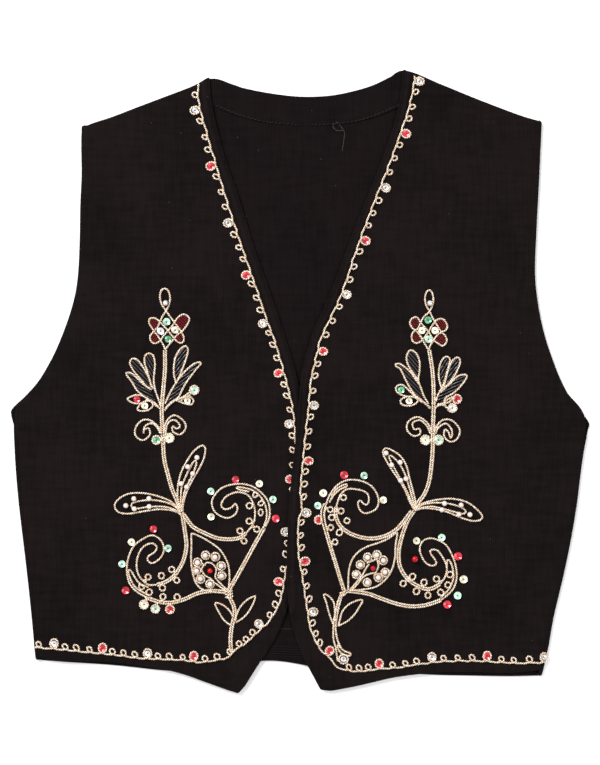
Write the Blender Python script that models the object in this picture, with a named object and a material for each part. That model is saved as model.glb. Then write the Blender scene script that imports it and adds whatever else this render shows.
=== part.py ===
"""An open-fronted knitted waistcoat, laid flat on its back with the right side up.

Run it with  blender --background --python part.py  or from the text editor.
The waistcoat lies on z = 0 with its neck toward +Y. All sizes are in
millimetres until a mesh is made, and a mesh is in metres.

Pieces: the back, whose side edges roll over to the side seams; the right
front and the left front, which laps over it at the waist; the facing inside
the back neck; and the pearls of the two sewn flowers.
"""

import math

import bmesh
import bpy
from mathutils import Vector

MM = 0.001
UP = Vector((0, 0, 1))

# Cloth
WALL = 1.5            # one layer of the knit
CLEARANCE = 0.3       # between pieces
ROLL_RADIUS = 1.5     # middle of the wall where the back rolls to the side seam
ROLL_ARC = math.pi * ROLL_RADIUS
ROLL_STEPS = 4
ROLL_START = 3.0      # below the underarm
ROLL_GROWS = 18.0     # length over which the roll closes
ROLL_ROWS = (1.0, 0.7, 0.4, 0.0)  # where rows cross that length, as shares of it
SEAM_INSET = ROLL_RADIUS + WALL / 2 + CLEARANCE + 0.35
EDGE_ROUND = 1.2      # width of the rounded rim of a wall
EDGE_DROP = 0.6
BACK_HEM = 24.0       # depth of the turned-up back hem
BACK_HEM_RISE = 1.2
HEM_ROWS = (1, 2)     # the rows of the back that its turned-up hem raises
HEM_MARGIN = 0.02     # share of the width left single at each side seam
FACING_WALL = 1.0
FACING_INSET = 0.8
FACING_RIM = 0.6      # height of its rim, as a share of its wall
FACING_TUCK = 5.0     # how far the facing runs under each front

# Front edges: the turned band, and the cord sewn along it
BAND = 8.0
BAND_RISE = 0.6
ARMHOLE_BAND = 11.0
CORD_HALF = 1.3
CORD_RISE = 1.1
CORD_LINE = 3         # the cord's place among the grid lines, counted from the edge
LOFT = 0.9            # how far a front lies clear of the back
FOLD_FADE = 26.0      # distance from the sewn edges over which folds fade
EDGE_LOOSE = 0.45     # share of the folds left at a free edge

# Support under the fronts, each with the length over which it falls away
SIDE_RISE, SIDE_FALL = 1.2, 24.0
HEM_RISE, HEM_HOLD, HEM_FALL = 1.3, 26.0, 24.0
NECK_RISE, NECK_HOLD, NECK_FALL = 1.5, 34.0, 26.0
LAP_RISE, LAP_HOLD, LAP_FALL = 3.9, 3.0, 24.0
LAP_TOP, LAP_BOTTOM, LAP_FADE = 4.0, -182.0, 26.0
LAP_PRESS = 0.85      # how far the lap presses the folds below it flat

# Pearls
PEARL = 5.0
PEARL_RING = 10.0     # from the flower's centre to each pearl's
PEARLS = 8
CENTRE_BEAD = 6.2
CENTRE_FLATTEN = 0.5
BEAD_SEGMENTS, BEAD_RINGS = 10, 6

# Colours: red, green, blue, roughness
BLACK_KNIT = (0.011, 0.0085, 0.0088, 0.9)
BLACK_FACING = (0.010, 0.0078, 0.0082, 0.92)
PEARL_WHITE = (0.72, 0.66, 0.58, 0.25)
GARNET = (0.30, 0.012, 0.02, 0.2)

# Outlines. Each is a smooth line through its places: (across, up) from the
# middle of the waistcoat, across toward +X and up toward the neck at +Y.
RIGHT_SIDE = ((-211.5, -222.5), (-213.6, -198), (-217.6, -159), (-221.4, -127),
              (-225.2, -95), (-227.8, -63), (-229.0, -38), (-231.6, -23.5))
RIGHT_ARMHOLE = ((-231.6, -23.5), (-219.4, -11), (-208, 1.5), (-198.4, 17), (-191.2, 33),
                 (-185.2, 49), (-180.0, 66), (-177.2, 84), (-175.8, 113), (-175.4, 145),
                 (-174.8, 165), (-176.0, 187), (-175.0, 202.5))
RIGHT_SHOULDER = ((-175.0, 202.5), (-167, 206.2), (-152, 210.6), (-128, 219.8),
                  (-104, 228.6), (-84, 236.4), (-72.8, 243.2))
LEFT_SIDE = ((193.4, -234.5), (197.6, -220), (202, -191), (210, -159), (216.6, -127),
             (222, -95), (225.6, -63), (231.6, -34.2))
LEFT_ARMHOLE = ((231.6, -34.2), (225.4, -23), (216.6, -14.5), (207.8, 1), (201.8, 17),
                (196.2, 33), (192.2, 49), (189.4, 66), (187.4, 84), (188.4, 113),
                (189.6, 137), (191.4, 171), (192.6, 206.6))
LEFT_SHOULDER = ((83.0, 249.0), (92, 245.2), (104, 240.6), (120, 234.2), (144, 224.6),
                 (168, 215.4), (184, 209.6), (192.6, 206.6))
BACK_NECK = ((-72.8, 243.2), (-64, 241), (-48, 235.8), (-24, 231), (0, 228.2), (24, 229),
             (44, 233), (60, 238), (74, 245.2), (83.0, 249.0))
BACK_HEM_LINE = ((-211.5, -222.5), (-160, -227.8), (-108, -233), (-68, -230), (-32, -223.4),
                 (-12, -224), (8, -228), (48, -232), (112, -235), (193.4, -234.5))
RIGHT_EDGE = ((-49.6, -249.2), (-43.5, -242), (-36, -229.4), (-27.2, -217.4), (-17.6, -200.6),
              (-11.4, -184), (-6.4, -169), (-2.8, -150), (-0.8, -127), (1.6, -103), (3.2, -79),
              (3.8, -55), (3.0, -31), (-0.2, -7), (-9.2, 25), (-26.4, 77), (-36.8, 105),
              (-48.8, 145), (-60, 177), (-68.8, 209), (-72.2, 227), (-72.8, 243.2))
RIGHT_HEM = ((-208.4, -220.4), (-190, -223.6), (-160, -225.4), (-120, -229.8), (-96, -233.4),
             (-80, -238.6), (-64, -244.4), (-49.6, -249.2))
LEFT_EDGE = ((16.8, -246.4), (9.6, -232.6), (1.6, -218.4), (-2.4, -207), (-6.4, -191),
             (-9.4, -175), (-10.0, -155), (-10.0, -135), (-8.8, -111), (-7.2, -87), (-4, -55),
             (-0.8, -31), (-0.4, -15), (0.8, 1), (6.4, 25), (12, 42), (23.4, 66), (32.2, 89),
             (40.8, 113), (48.8, 133), (60, 161), (72, 193), (77.2, 209), (80.8, 225),
             (83.0, 249.0))
LEFT_HEM = ((16.8, -246.4), (24, -247.2), (40, -244.6), (64, -239.8), (76, -236.6), (92, -234.2),
            (112, -232.2), (144, -231.8), (170, -231.2), (191.4, -229.6))
FACING_EDGE = ((-69.0, 223.0), (-48, 213.8), (-24, 207.8), (8, 205.6), (40, 208.2), (60, 213.6),
               (80.5, 223.0))

# Folds of the fronts: (across, up, half length, half width, turn, height). Turn
# is in degrees from straight up, toward +X. A height below zero is a trough.
RIGHT_FOLDS = (
    (-72, 25, 46, 9, 2, -1.5),
    (-52, 18, 44, 12, 4, 1.3),
    (-30, -18, 44, 9, 6, -1.4),
    (-150, 66, 62, 11, -22, -1.2),
    (-128, 62, 66, 15, -20, 1.1),
    (-104, 140, 60, 18, -14, 0.9),
    (-68, -40, 40, 11, -30, -1.1),
    (-206, -60, 50, 8, -4, -0.9),
    (-186, -66, 74, 14, -6, 1.0),
    (-190, -170, 40, 12, 16, -1.0),
    (-130, -120, 70, 20, -12, 0.8),
    (-100, -205, 22, 30, 70, 0.7),
)
LEFT_FOLDS = (
    (92, 108, 62, 11, 8, -1.9),
    (112, 120, 60, 15, 8, 1.2),
    (72, 26, 48, 10, 10, -1.4),
    (62, 40, 66, 11, 10, 1.6),
    (58, -42, 34, 10, 20, -1.2),
    (92, -50, 30, 11, -6, -1.4),
    (78, -32, 36, 12, 12, 1.5),
    (152, 36, 8, 60, 4, -0.6),
    (140, -34, 34, 12, 26, -1.0),
    (162, -112, 46, 13, 14, -1.5),
    (186, -96, 52, 13, 12, 1.1),
    (134, -126, 66, 19, 10, 0.9),
    (60, -205, 22, 30, -70, 0.7),
)

# Flowers: (front, across, up, turn in degrees)
FLOWERS = (
    ("right_front", -72.0, -151.6, 8.0),
    ("left_front", 58.4, -149.6, 19.0),
)

# Meshing
FRONT_COLUMNS = 13
FRONT_ROWS_BELOW = 13
FRONT_ROWS_ABOVE = 17
BACK_COLUMNS = (5, 10, 5)
BACK_ROWS_BELOW = 8
BACK_ROWS_ABOVE = 11
FACING_COLUMNS = 22
LINE_STEPS = 8
SHARP_ANGLE = 40.0    # degrees


def lap_window(up):
    """1 at the heights where the left front laps over the right one, fading to 0."""
    return fall(max(up - LAP_TOP, LAP_BOTTOM - up), 0.0, LAP_FADE)


def smooth(share):
    """An even rise from 0 to 1 as share goes from 0 to 1."""
    share = min(1.0, max(0.0, share))
    return share * share * (3 - 2 * share)


def fall(distance, hold, length):
    """1 up to hold, then an even fall to 0 over length."""
    return 1.0 - smooth((distance - hold) / length)


class Line:
    """A smooth line through its places, read by its share of the whole length."""

    def __init__(self, places):
        ends = [Vector(place) for place in places]
        ends = [2 * ends[0] - ends[1]] + ends + [2 * ends[-1] - ends[-2]]
        self.points = []
        for before, start, end, after in zip(ends, ends[1:], ends[2:], ends[3:]):
            for step in range(LINE_STEPS):
                t = step / LINE_STEPS
                curve = ((2 * start) + (end - before) * t
                         + (2 * before - 5 * start + 4 * end - after) * t ** 2
                         + (3 * start - before - 3 * end + after) * t ** 3)
                self.points.append(curve / 2)
        self.points.append(ends[-2])
        self.lengths = [0.0]
        for start, end in zip(self.points, self.points[1:]):
            self.lengths.append(self.lengths[-1] + (end - start).length)

    @property
    def length(self):
        return self.lengths[-1]

    def at(self, share):
        """The place at a share of the length."""
        wanted = min(1.0, max(0.0, share)) * self.length
        for index in range(1, len(self.points)):
            if wanted <= self.lengths[index]:
                break
        run = self.lengths[index] - self.lengths[index - 1]
        part = (wanted - self.lengths[index - 1]) / run
        return self.points[index - 1].lerp(self.points[index], part)

    def height_at(self, across):
        """How far up the line is at a place across it, for a line that runs sideways."""
        for start, end in zip(self.points, self.points[1:]):
            if start.x <= across <= end.x:
                return start.lerp(end, (across - start.x) / (end.x - start.x)).y
        return self.points[0].y if across < self.points[0].x else self.points[-1].y

    def across_at(self, up):
        """How far across the line is at a height, for a line that runs upward."""
        for start, end in zip(self.points, self.points[1:]):
            if start.y <= up <= end.y:
                return start.lerp(end, (up - start.y) / max(end.y - start.y, 1e-9)).x
        return self.points[0].x if up < self.points[0].y else self.points[-1].x

    def distance(self, place):
        """The shortest way from a place to the line."""
        shortest = math.inf
        for start, end in zip(self.points, self.points[1:]):
            run = end - start
            part = min(1.0, max(0.0, (place - start).dot(run) / run.length_squared))
            shortest = min(shortest, (place - start - run * part).length)
        return shortest


class Chain:
    """Lines end to end, each with its own stretch of the share from 0 to 1."""

    def __init__(self, lines, breaks):
        self.lines = lines
        self.breaks = (0.0, *breaks, 1.0)

    def at(self, share):
        for line, start, end in zip(self.lines, self.breaks, self.breaks[1:]):
            if share <= end:
                return line.at((share - start) / (end - start))
        return self.lines[-1].at(1.0)


class Patch:
    """A four-sided sheet blended from its bottom, top, left and right edges."""

    def __init__(self, bottom, top, left, right):
        self.bottom, self.top, self.left, self.right = bottom, top, left, right

    def at(self, across, up):
        sides = self.left.at(up).lerp(self.right.at(up), across)
        ends = self.bottom.at(across).lerp(self.top.at(across), up)
        low = self.bottom.at(0).lerp(self.bottom.at(1), across)
        high = self.top.at(0).lerp(self.top.at(1), across)
        return sides + ends - low.lerp(high, up)

    def width(self, up):
        return (self.right.at(up) - self.left.at(up)).length

    def height(self, across):
        return (self.top.at(across) - self.bottom.at(across)).length

    def slant(self, edge, up):
        """How much longer a cut across the sheet is than a square cut from this edge."""
        step, least = 0.01, 0.6
        along = (edge.at(min(1, up + step)) - edge.at(max(0, up - step))).normalized()
        row = (self.right.at(up) - self.left.at(up)).normalized()
        square = abs(along.x * row.y - along.y * row.x)
        return 1.0 / max(square, least)


def spaced(first, last, count):
    """Shares between first and last, without the two ends."""
    return [first + (last - first) * step / count for step in range(1, count)]


def make_object(name, mesh, colour):
    """Puts a finished mesh in the scene with its own material."""
    material = bpy.data.materials.new(name + "_finish")
    material.use_nodes = True
    shader = material.node_tree.nodes["Principled BSDF"]
    shader.inputs["Base Color"].default_value = (*colour[:3], 1.0)
    shader.inputs["Roughness"].default_value = colour[3]
    material.diffuse_color = (*colour[:3], 1.0)
    mesh.materials.append(material)
    mesh.shade_smooth()
    mesh.set_sharp_from_angle(angle=math.radians(SHARP_ANGLE))
    piece = bpy.data.objects.new(name, mesh)
    bpy.context.scene.collection.objects.link(piece)
    return piece


def make_wall(name, upper, lower, colour):
    """Closes two grids of points, in rows, into one wall with a rim all round."""
    shape = bmesh.new()
    skins = []
    for grid in (upper, lower):
        skins.append([[shape.verts.new(Vector(point) * MM) for point in row] for row in grid])
    rows, columns = len(upper), len(upper[0])
    for skin in skins:
        for i in range(rows - 1):
            for j in range(columns - 1):
                shape.faces.new((skin[i][j], skin[i][j + 1], skin[i + 1][j + 1], skin[i + 1][j]))
    border = ([(0, j) for j in range(columns)] + [(i, columns - 1) for i in range(1, rows)]
              + [(rows - 1, j) for j in range(columns - 2, -1, -1)]
              + [(i, 0) for i in range(rows - 2, 0, -1)])
    for (i, j), (k, m) in zip(border, border[1:] + border[:1]):
        shape.faces.new((skins[0][i][j], skins[1][i][j], skins[1][k][m], skins[0][k][m]))
    bmesh.ops.recalc_face_normals(shape, faces=shape.faces)
    mesh = bpy.data.meshes.new(name)
    shape.to_mesh(mesh)
    shape.free()
    return make_object(name, mesh, colour)


class Front:
    """One front: its sheet, what holds it up, and its folds."""

    def __init__(self, name, side, armhole, shoulder, edge, hem, folds, lap_over=None):
        self.name = name
        self.side, self.armhole, self.shoulder = Line(side), Line(armhole), Line(shoulder)
        self.edge, self.hem = Line(edge), Line(hem)
        self.folds = folds
        self.lap_over = lap_over
        sewn = self.side.length + self.armhole.length
        self.underarm = self.side.length / sewn
        outer = Chain((self.side, self.armhole), (self.underarm,))
        self.edge_on_right = self.edge.at(0).x > self.side.at(0).x
        left, right = (outer, self.edge) if self.edge_on_right else (self.edge, outer)
        self.sheet = Patch(self.hem, self.shoulder, left, right)
        self.neck = self.edge.at(1)

    def fold_height(self, place):
        """The sum of the folds at a place."""
        total = 0.0
        for across, up, half_length, half_width, turn, height in self.folds:
            away = place - Vector((across, up))
            angle = math.radians(turn)
            along = away.x * math.sin(angle) + away.y * math.cos(angle)
            beside = away.x * math.cos(angle) - away.y * math.sin(angle)
            total += height * math.exp(-(along / half_length) ** 2 - (beside / half_width) ** 2)
        return total

    def under(self, place):
        """Height of the underside: on the back, and clear of all that lies between."""
        sewn = min(self.side.distance(place), self.armhole.distance(place),
                   self.shoulder.distance(place))
        free = min(self.edge.distance(place), self.hem.distance(place))
        loose = smooth(sewn / FOLD_FADE)
        loose *= EDGE_LOOSE + (1 - EDGE_LOOSE) * smooth(free / FOLD_FADE)
        if self.lap_over is None:
            loose *= 1 - LAP_PRESS * lap_window(place.y) * fall(free, BAND, FOLD_FADE)
        above_hem = place.y - back_hem.height_at(place.x)
        lifts = [
            max(0.0, LOFT + self.fold_height(place)) * loose,
            SIDE_RISE * fall(self.side.distance(place), 0.0, SIDE_FALL),
            HEM_RISE * fall(above_hem, HEM_HOLD, HEM_FALL),
            NECK_RISE * fall((place - self.neck).length, NECK_HOLD, NECK_FALL),
        ]
        if self.lap_over is not None:
            past = place.x - self.lap_over.edge.across_at(place.y)
            lifts.append(LAP_RISE * fall(past, LAP_HOLD, LAP_FALL) * lap_window(place.y))
        lift = sum(value ** 4 for value in lifts) ** 0.25
        return WALL + CLEARANCE + lift

    def over(self, place):
        """Height of the right side of the cloth, with its turned edges."""
        free = min(self.edge.distance(place), self.hem.distance(place))
        bands = (fall(free, BAND - EDGE_ROUND, 2 * EDGE_ROUND),
                 fall(self.armhole.distance(place), ARMHOLE_BAND - EDGE_ROUND, 2 * EDGE_ROUND))
        return self.under(place) + WALL + BAND_RISE * max(bands)

    def columns(self, up):
        """Shares across one row: the rim, the band, the cord, then even steps."""
        wide = self.sheet.width(up)
        outer = [0.0, EDGE_ROUND / wide, ARMHOLE_BAND / wide]
        slant = self.sheet.slant(self.edge, up) / wide
        inner = [0.0] + [size * slant for size in
                         (EDGE_ROUND, BAND - CORD_HALF, BAND, BAND + CORD_HALF)]
        middle = spaced(outer[-1], 1 - inner[-1], FRONT_COLUMNS)
        shares = outer + middle + [1 - share for share in reversed(inner)]
        return shares if self.edge_on_right else [1 - share for share in reversed(shares)]

    def rows(self, across):
        """Shares up one column: the rim, band and cord of the hem, then even steps."""
        tall = self.sheet.height(across)
        low = [0.0] + [size / tall for size in
                       (EDGE_ROUND, BAND - CORD_HALF, BAND, BAND + CORD_HALF)]
        high = [1 - BAND / tall, 1 - EDGE_ROUND / tall, 1.0]
        return (low + spaced(low[-1], self.underarm, FRONT_ROWS_BELOW) + [self.underarm]
                + spaced(self.underarm, high[0], FRONT_ROWS_ABOVE) + high)

    def build(self):
        """Raises the right side over a plain inside, with the cord as a ridge."""
        upper, lower = [], []
        row_ups = self.rows(0.5)
        row_count = len(row_ups)
        for i, row_up in enumerate(row_ups):
            shares = self.columns(row_up)
            last = len(shares) - 1
            cord_column = last - CORD_LINE if self.edge_on_right else CORD_LINE
            over_row, under_row = [], []
            for j, across in enumerate(shares):
                place = self.sheet.at(across, self.rows(across)[i])
                under, over = self.under(place), self.over(place)
                hem_cord = i == CORD_LINE and self.edge.distance(place) > BAND - CORD_HALF
                edge_cord = j == cord_column and self.hem.distance(place) > BAND - CORD_HALF
                if hem_cord or edge_cord:
                    over += CORD_RISE
                if i in (0, row_count - 1) or j in (0, last):
                    over -= EDGE_DROP
                over_row.append((place.x, place.y, over))
                under_row.append((place.x, place.y, under))
            upper.append(over_row)
            lower.append(under_row)
        return make_wall(self.name, upper, lower, BLACK_KNIT)


class Back:
    """The back: flat on its right side, its side edges rolled over to the seams."""

    def __init__(self):
        self.right_side, self.left_side = Line(RIGHT_SIDE), Line(LEFT_SIDE)
        right_armhole, left_armhole = Line(RIGHT_ARMHOLE), Line(LEFT_ARMHOLE)
        self.underarm = self.right_side.length / (self.right_side.length + right_armhole.length)
        shoulders = (Line(RIGHT_SHOULDER), Line(BACK_NECK), Line(LEFT_SHOULDER))
        widths = [line.length for line in shoulders]
        self.tips = (widths[0] / sum(widths), 1 - widths[2] / sum(widths))
        self.sheet = Patch(
            back_hem,
            Chain(shoulders, self.tips),
            Chain((self.right_side, right_armhole), (self.underarm,)),
            Chain((self.left_side, left_armhole), (self.underarm,)),
        )

    def rows(self, across):
        tall = self.sheet.height(across)
        low = [0.0] + [size / tall for size in (EDGE_ROUND, BACK_HEM, BACK_HEM + EDGE_ROUND)]
        near = [self.underarm - (ROLL_START + share * ROLL_GROWS) / tall for share in ROLL_ROWS]
        high = [1 - BAND / tall, 1 - EDGE_ROUND / tall, 1.0]
        return (low + spaced(low[-1], near[0], BACK_ROWS_BELOW) + near + [self.underarm]
                + spaced(self.underarm, high[0], BACK_ROWS_ABOVE) + high)

    def columns(self):
        """Shares across: the rims, and even steps that meet the two neck points."""
        wide = self.sheet.width(self.underarm)
        rim = EDGE_ROUND / wide
        first, second = self.tips
        shares = [0.0, rim, *spaced(rim, first, BACK_COLUMNS[0]), first]
        shares += [*spaced(first, second, BACK_COLUMNS[1]), second]
        return shares + [*spaced(second, 1 - rim, BACK_COLUMNS[2]), 1 - rim, 1.0]

    def roll_angle(self, side, up):
        """How far a side edge has rolled over: a half turn along the seam, none above it."""
        if up >= self.underarm:
            return 0.0
        below = side.length * (1 - up / self.underarm)
        return math.pi * smooth((below - ROLL_START) / ROLL_GROWS)

    def rolled(self, start, outward, angle):
        """The rolled edge from its start outward: pairs of (inner place, outer place)."""
        places = []
        for step in range(1, ROLL_STEPS + 1):
            turned = angle * step / ROLL_STEPS
            if angle > 0:
                radius = ROLL_ARC / angle
                reach, rise = radius * math.sin(turned), radius * (1 - math.cos(turned))
            else:
                reach, rise = ROLL_ARC * step / ROLL_STEPS, 0.0
            middle = Vector((start.x, start.y, WALL / 2 + rise)) + outward * reach
            inward = UP * math.cos(turned) - outward * math.sin(turned)
            places.append((middle + inward * WALL / 2, middle - inward * WALL / 2))
        return places

    def roll_inset(self, angle):
        """How far inside the outline the roll starts, so that it reaches the outline."""
        if angle == 0:
            return ROLL_ARC
        return (ROLL_ARC / angle + WALL / 2) * math.sin(min(angle, math.pi / 2))

    def row(self, i, shares, side_up):
        """One row of the back: its flat part between the two rolled edges."""
        left, right = self.sheet.left.at(side_up), self.sheet.right.at(side_up)
        sideways = (right - left).normalized().to_3d()
        wide = (right - left).length
        angles = [self.roll_angle(side, side_up) for side in (self.right_side, self.left_side)]
        start, end = self.roll_inset(angles[0]) / wide, 1 - self.roll_inset(angles[1]) / wide
        flat = []
        for share in shares:
            across = start + (end - start) * share
            place = self.sheet.at(across, self.rows(across)[i]).to_3d()
            hem = i in HEM_ROWS and HEM_MARGIN < share < 1 - HEM_MARGIN
            flat.append((place + UP * (WALL + (BACK_HEM_RISE if hem else 0.0)), place))
        first = self.rolled(flat[0][1], -sideways, angles[0])
        last = self.rolled(flat[-1][1], sideways, angles[1])
        return list(reversed(first)) + flat + last

    def build(self):
        shares = self.columns()
        rows = [self.row(i, shares, side_up) for i, side_up in enumerate(self.rows(0.0))]
        upper = [[inner for inner, _ in row] for row in rows]
        lower = [[outer for _, outer in row] for row in rows]
        return make_wall("back", upper, lower, BLACK_KNIT)


def build_facing():
    """The band inside the back neck, on the back and tucked under both fronts."""
    neck, edge = Line(BACK_NECK), Line(FACING_EDGE)
    upper, lower = [], []
    rim_share = FACING_INSET / (neck.at(0.5) - edge.at(0.5)).length
    shares = (rim_share, 2 * rim_share, 0.5, 1 - rim_share, 1.0)
    low = WALL + CLEARANCE
    for share in shares:
        rim = share in (shares[0], shares[-1])
        high = low + FACING_WALL * (FACING_RIM if rim else 1.0)
        over_row, under_row = [], []
        for step in range(FACING_COLUMNS + 1):
            along = step / FACING_COLUMNS
            place = neck.at(along).lerp(edge.at(along), share)
            tuck = FACING_TUCK * (2 * along - 1) * share
            over_row.append((place.x + tuck, place.y, high))
            under_row.append((place.x + tuck, place.y, low))
        upper.append(over_row)
        lower.append(under_row)
    return make_wall("back_neck_facing", upper, lower, BLACK_FACING)


def build_bead(name, place, cloth, diameter, colour, flatten=1.0):
    """One bead, whose foot stands just clear of the cloth below it."""
    shape = bmesh.new()
    bmesh.ops.create_uvsphere(shape, u_segments=BEAD_SEGMENTS, v_segments=BEAD_RINGS,
                              radius=diameter / 2 * MM)
    height = cloth + CLEARANCE + diameter / 2 * flatten
    for vert in shape.verts:
        vert.co.z *= flatten
        vert.co += Vector((place.x, place.y, height)) * MM
    mesh = bpy.data.meshes.new(name)
    shape.to_mesh(mesh)
    shape.free()
    return make_object(name, mesh, colour)


def build_flower(front, across, up, turn):
    """A red bead with a ring of pearls round it."""
    middle = Vector((across, up))
    build_bead(front.name + "_flower_centre", middle, front.over(middle), CENTRE_BEAD, GARNET,
               CENTRE_FLATTEN)
    for index in range(PEARLS):
        angle = math.radians(turn) + 2 * math.pi * index / PEARLS
        place = middle + PEARL_RING * Vector((math.cos(angle), math.sin(angle)))
        name = "{}_flower_pearl_{}".format(front.name, index + 1)
        build_bead(name, place, front.over(place), PEARL, PEARL_WHITE)


def seam_line(side, toward, hem_corner):
    """The side seam from the front's hem corner, just inside the rolled edge of the back."""
    return (hem_corner, *((across + toward * SEAM_INSET, up) for across, up in side[2:]))


def main():
    for old in list(bpy.data.objects):
        bpy.data.objects.remove(old, do_unlink=True)
    right_side = seam_line(RIGHT_SIDE, 1, RIGHT_HEM[0])
    left_side = seam_line(LEFT_SIDE, -1, LEFT_HEM[-1])
    right_armhole = (right_side[-1], *RIGHT_ARMHOLE[1:])
    left_armhole = (left_side[-1], *LEFT_ARMHOLE[1:])
    right = Front("right_front", right_side, right_armhole, RIGHT_SHOULDER,
                  RIGHT_EDGE, RIGHT_HEM, RIGHT_FOLDS)
    left = Front("left_front", left_side, left_armhole, LEFT_SHOULDER,
                 LEFT_EDGE, LEFT_HEM, LEFT_FOLDS, lap_over=right)
    Back().build()
    right.build()
    left.build()
    build_facing()
    fronts = {"right_front": right, "left_front": left}
    for name, across, up, turn in FLOWERS:
        build_flower(fronts[name], across, up, turn)


back_hem = Line(BACK_HEM_LINE)
main()
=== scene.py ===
"""The looks of an open-fronted knitted waistcoat with gold cord embroidery, laid flat.

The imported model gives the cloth's form. This script turns each cloth node into a soft
thin shell, knits it in its material, and sews on the cords, sequins, beads and pearls.

Places on the cloth are (across, up) in millimetres from the middle of the waistcoat,
across toward +X and up toward the neck at +Y. Heights are read off the finished cloth.
"""

import logging
import math
import random
from dataclasses import dataclass, field
from enum import Enum

import bmesh
import bpy
import numpy as np
from mathutils import Matrix, Vector
from mathutils.bvhtree import BVHTree
from mathutils.kdtree import KDTree


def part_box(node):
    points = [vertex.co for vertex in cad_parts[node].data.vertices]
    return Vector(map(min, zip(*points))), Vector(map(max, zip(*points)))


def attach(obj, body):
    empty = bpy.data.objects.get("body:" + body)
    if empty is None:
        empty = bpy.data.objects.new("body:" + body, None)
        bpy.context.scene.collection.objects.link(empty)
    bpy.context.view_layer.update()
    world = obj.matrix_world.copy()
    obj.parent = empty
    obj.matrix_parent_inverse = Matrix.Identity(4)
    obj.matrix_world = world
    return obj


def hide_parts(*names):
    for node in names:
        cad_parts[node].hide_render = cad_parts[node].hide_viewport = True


MM = 0.001
SEED = 11
FLAT = 0.3  # a corner whose normal rises more than this faces up
SIDE = 0.9  # a corner whose normal rises less than this lies on the outline
BEND = 0.5  # the rise of a face's normal at which the top gives way to the side
TINY = 1e-9  # the least length by which a direction is divided
FAR = 99.0  # farther than any neighbour that matters, in millimetres
log = logging.getLogger("waistcoat")

Socket, Node = bpy.types.NodeSocket, bpy.types.Node
Material, Piece = bpy.types.Material, bpy.types.Object
Place = tuple[float, float]
Line = tuple[Place, ...]
Triple = tuple[float, float, float]  # a colour or a size
Fold = tuple[float, float, float, float, float, float]
Pull = tuple[float, float, float, float, float]


class Tint(Enum):
    """The colours of the sequins: red, green and blue of the foil."""

    RED = (0.62, 0.016, 0.038)
    MINT = (0.46, 0.72, 0.55)
    GREEN = (0.13, 0.42, 0.22)
    CREAM = (0.92, 0.84, 0.60)
    CLEAR = (0.74, 0.71, 0.72)


class Filling(Enum):
    """What fills a leaf of cord."""

    NONE = 0
    BUGLES = 1  # long black ones
    BEADS = 2  # short red ones


RED, MINT, GREEN, CREAM, CLEAR = Tint
NONE, BUGLES, BEADS = Filling


# Finishes


class Nodes:
    """Adds and links the shader nodes of one tree."""

    def __init__(self, tree: bpy.types.NodeTree) -> None:
        """Keeps the tree that the nodes go in."""
        self.tree = tree

    def add(self, kind: str, **settings: object) -> Node:
        """Adds a node.

        Args:
            kind: the node's type, without its ShaderNode prefix.
            settings: its properties by name.

        Returns:
            The new node.
        """
        node = self.tree.nodes.new("ShaderNode" + kind)
        for name, value in settings.items():
            setattr(node, name, value)
        return node

    def link(self, start: Socket, end: Socket) -> None:
        """Joins an output to an input."""
        self.tree.links.new(start, end)

    def give(self, node: Node, values: dict[str | int, object]) -> Node:
        """Fills inputs of a node.

        Args:
            node: the node.
            values: what goes in by the input's name or number: a socket, or a constant.

        Returns:
            The same node.
        """
        for name, value in values.items():
            if isinstance(value, Socket):
                self.link(value, node.inputs[name])
            else:
                node.inputs[name].default_value = value
        return node

    def math(self, operation: str, *values: object) -> Socket:
        """Adds a Math node on sockets or numbers.

        Args:
            operation: what the node does.
            values: its inputs, each a socket or a number.

        Returns:
            Its output.
        """
        node = self.add("Math", operation=operation)
        return self.give(node, dict(enumerate(values))).outputs[0]

    def ramp(self, value: Socket, low: float, high: float, start: float = 0.0, end: float = 1.0) -> Socket:
        """Maps a stretch of a value onto another, clamped at both ends.

        Args:
            value: the socket that is mapped.
            low: its value that gives start.
            high: its value that gives end.
            start: the result at low.
            end: the result at high.

        Returns:
            The mapped output.
        """
        node = self.add("MapRange", clamp=True)
        self.give(node, {"Value": value, "From Min": low, "From Max": high, "To Min": start, "To Max": end})
        return node.outputs["Result"]

    def hill(self, value: Socket, middle: float, half: float) -> Socket:
        """A smooth rise to 1 round a value, and back to 0 this far to each side."""
        away = self.math("ABSOLUTE", self.math("SUBTRACT", value, middle))
        node = self.add("MapRange", clamp=True, interpolation_type="SMOOTHSTEP")
        self.give(node, {"Value": away, "From Min": 0.0, "From Max": half, "To Min": 1.0, "To Max": 0.0})
        return node.outputs["Result"]

    def noise(self, place: Socket, scale: float, detail: float = 2.0) -> Socket:
        """Adds a noise texture and gives its value."""
        node = self.give(self.add("TexNoise"), {"Scale": scale, "Detail": detail, "Vector": place})
        return node.outputs["Fac"]

    def mix(self, share: Socket, first: object, second: object) -> Socket:
        """Mixes two colours, each a socket or red, green and blue."""
        node = self.add("Mix", data_type="RGBA")
        pair = [colour if isinstance(colour, Socket) else (*colour, 1.0) for colour in (first, second)]
        return self.give(node, {0: share, 6: pair[0], 7: pair[1]}).outputs[2]

    def bump(self, height: Socket, depth: float) -> Socket:
        """Adds a bump of a depth in metres and gives its normal."""
        node = self.give(self.add("Bump"), {"Strength": 1.0, "Distance": depth, "Height": height})
        return node.outputs["Normal"]


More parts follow.
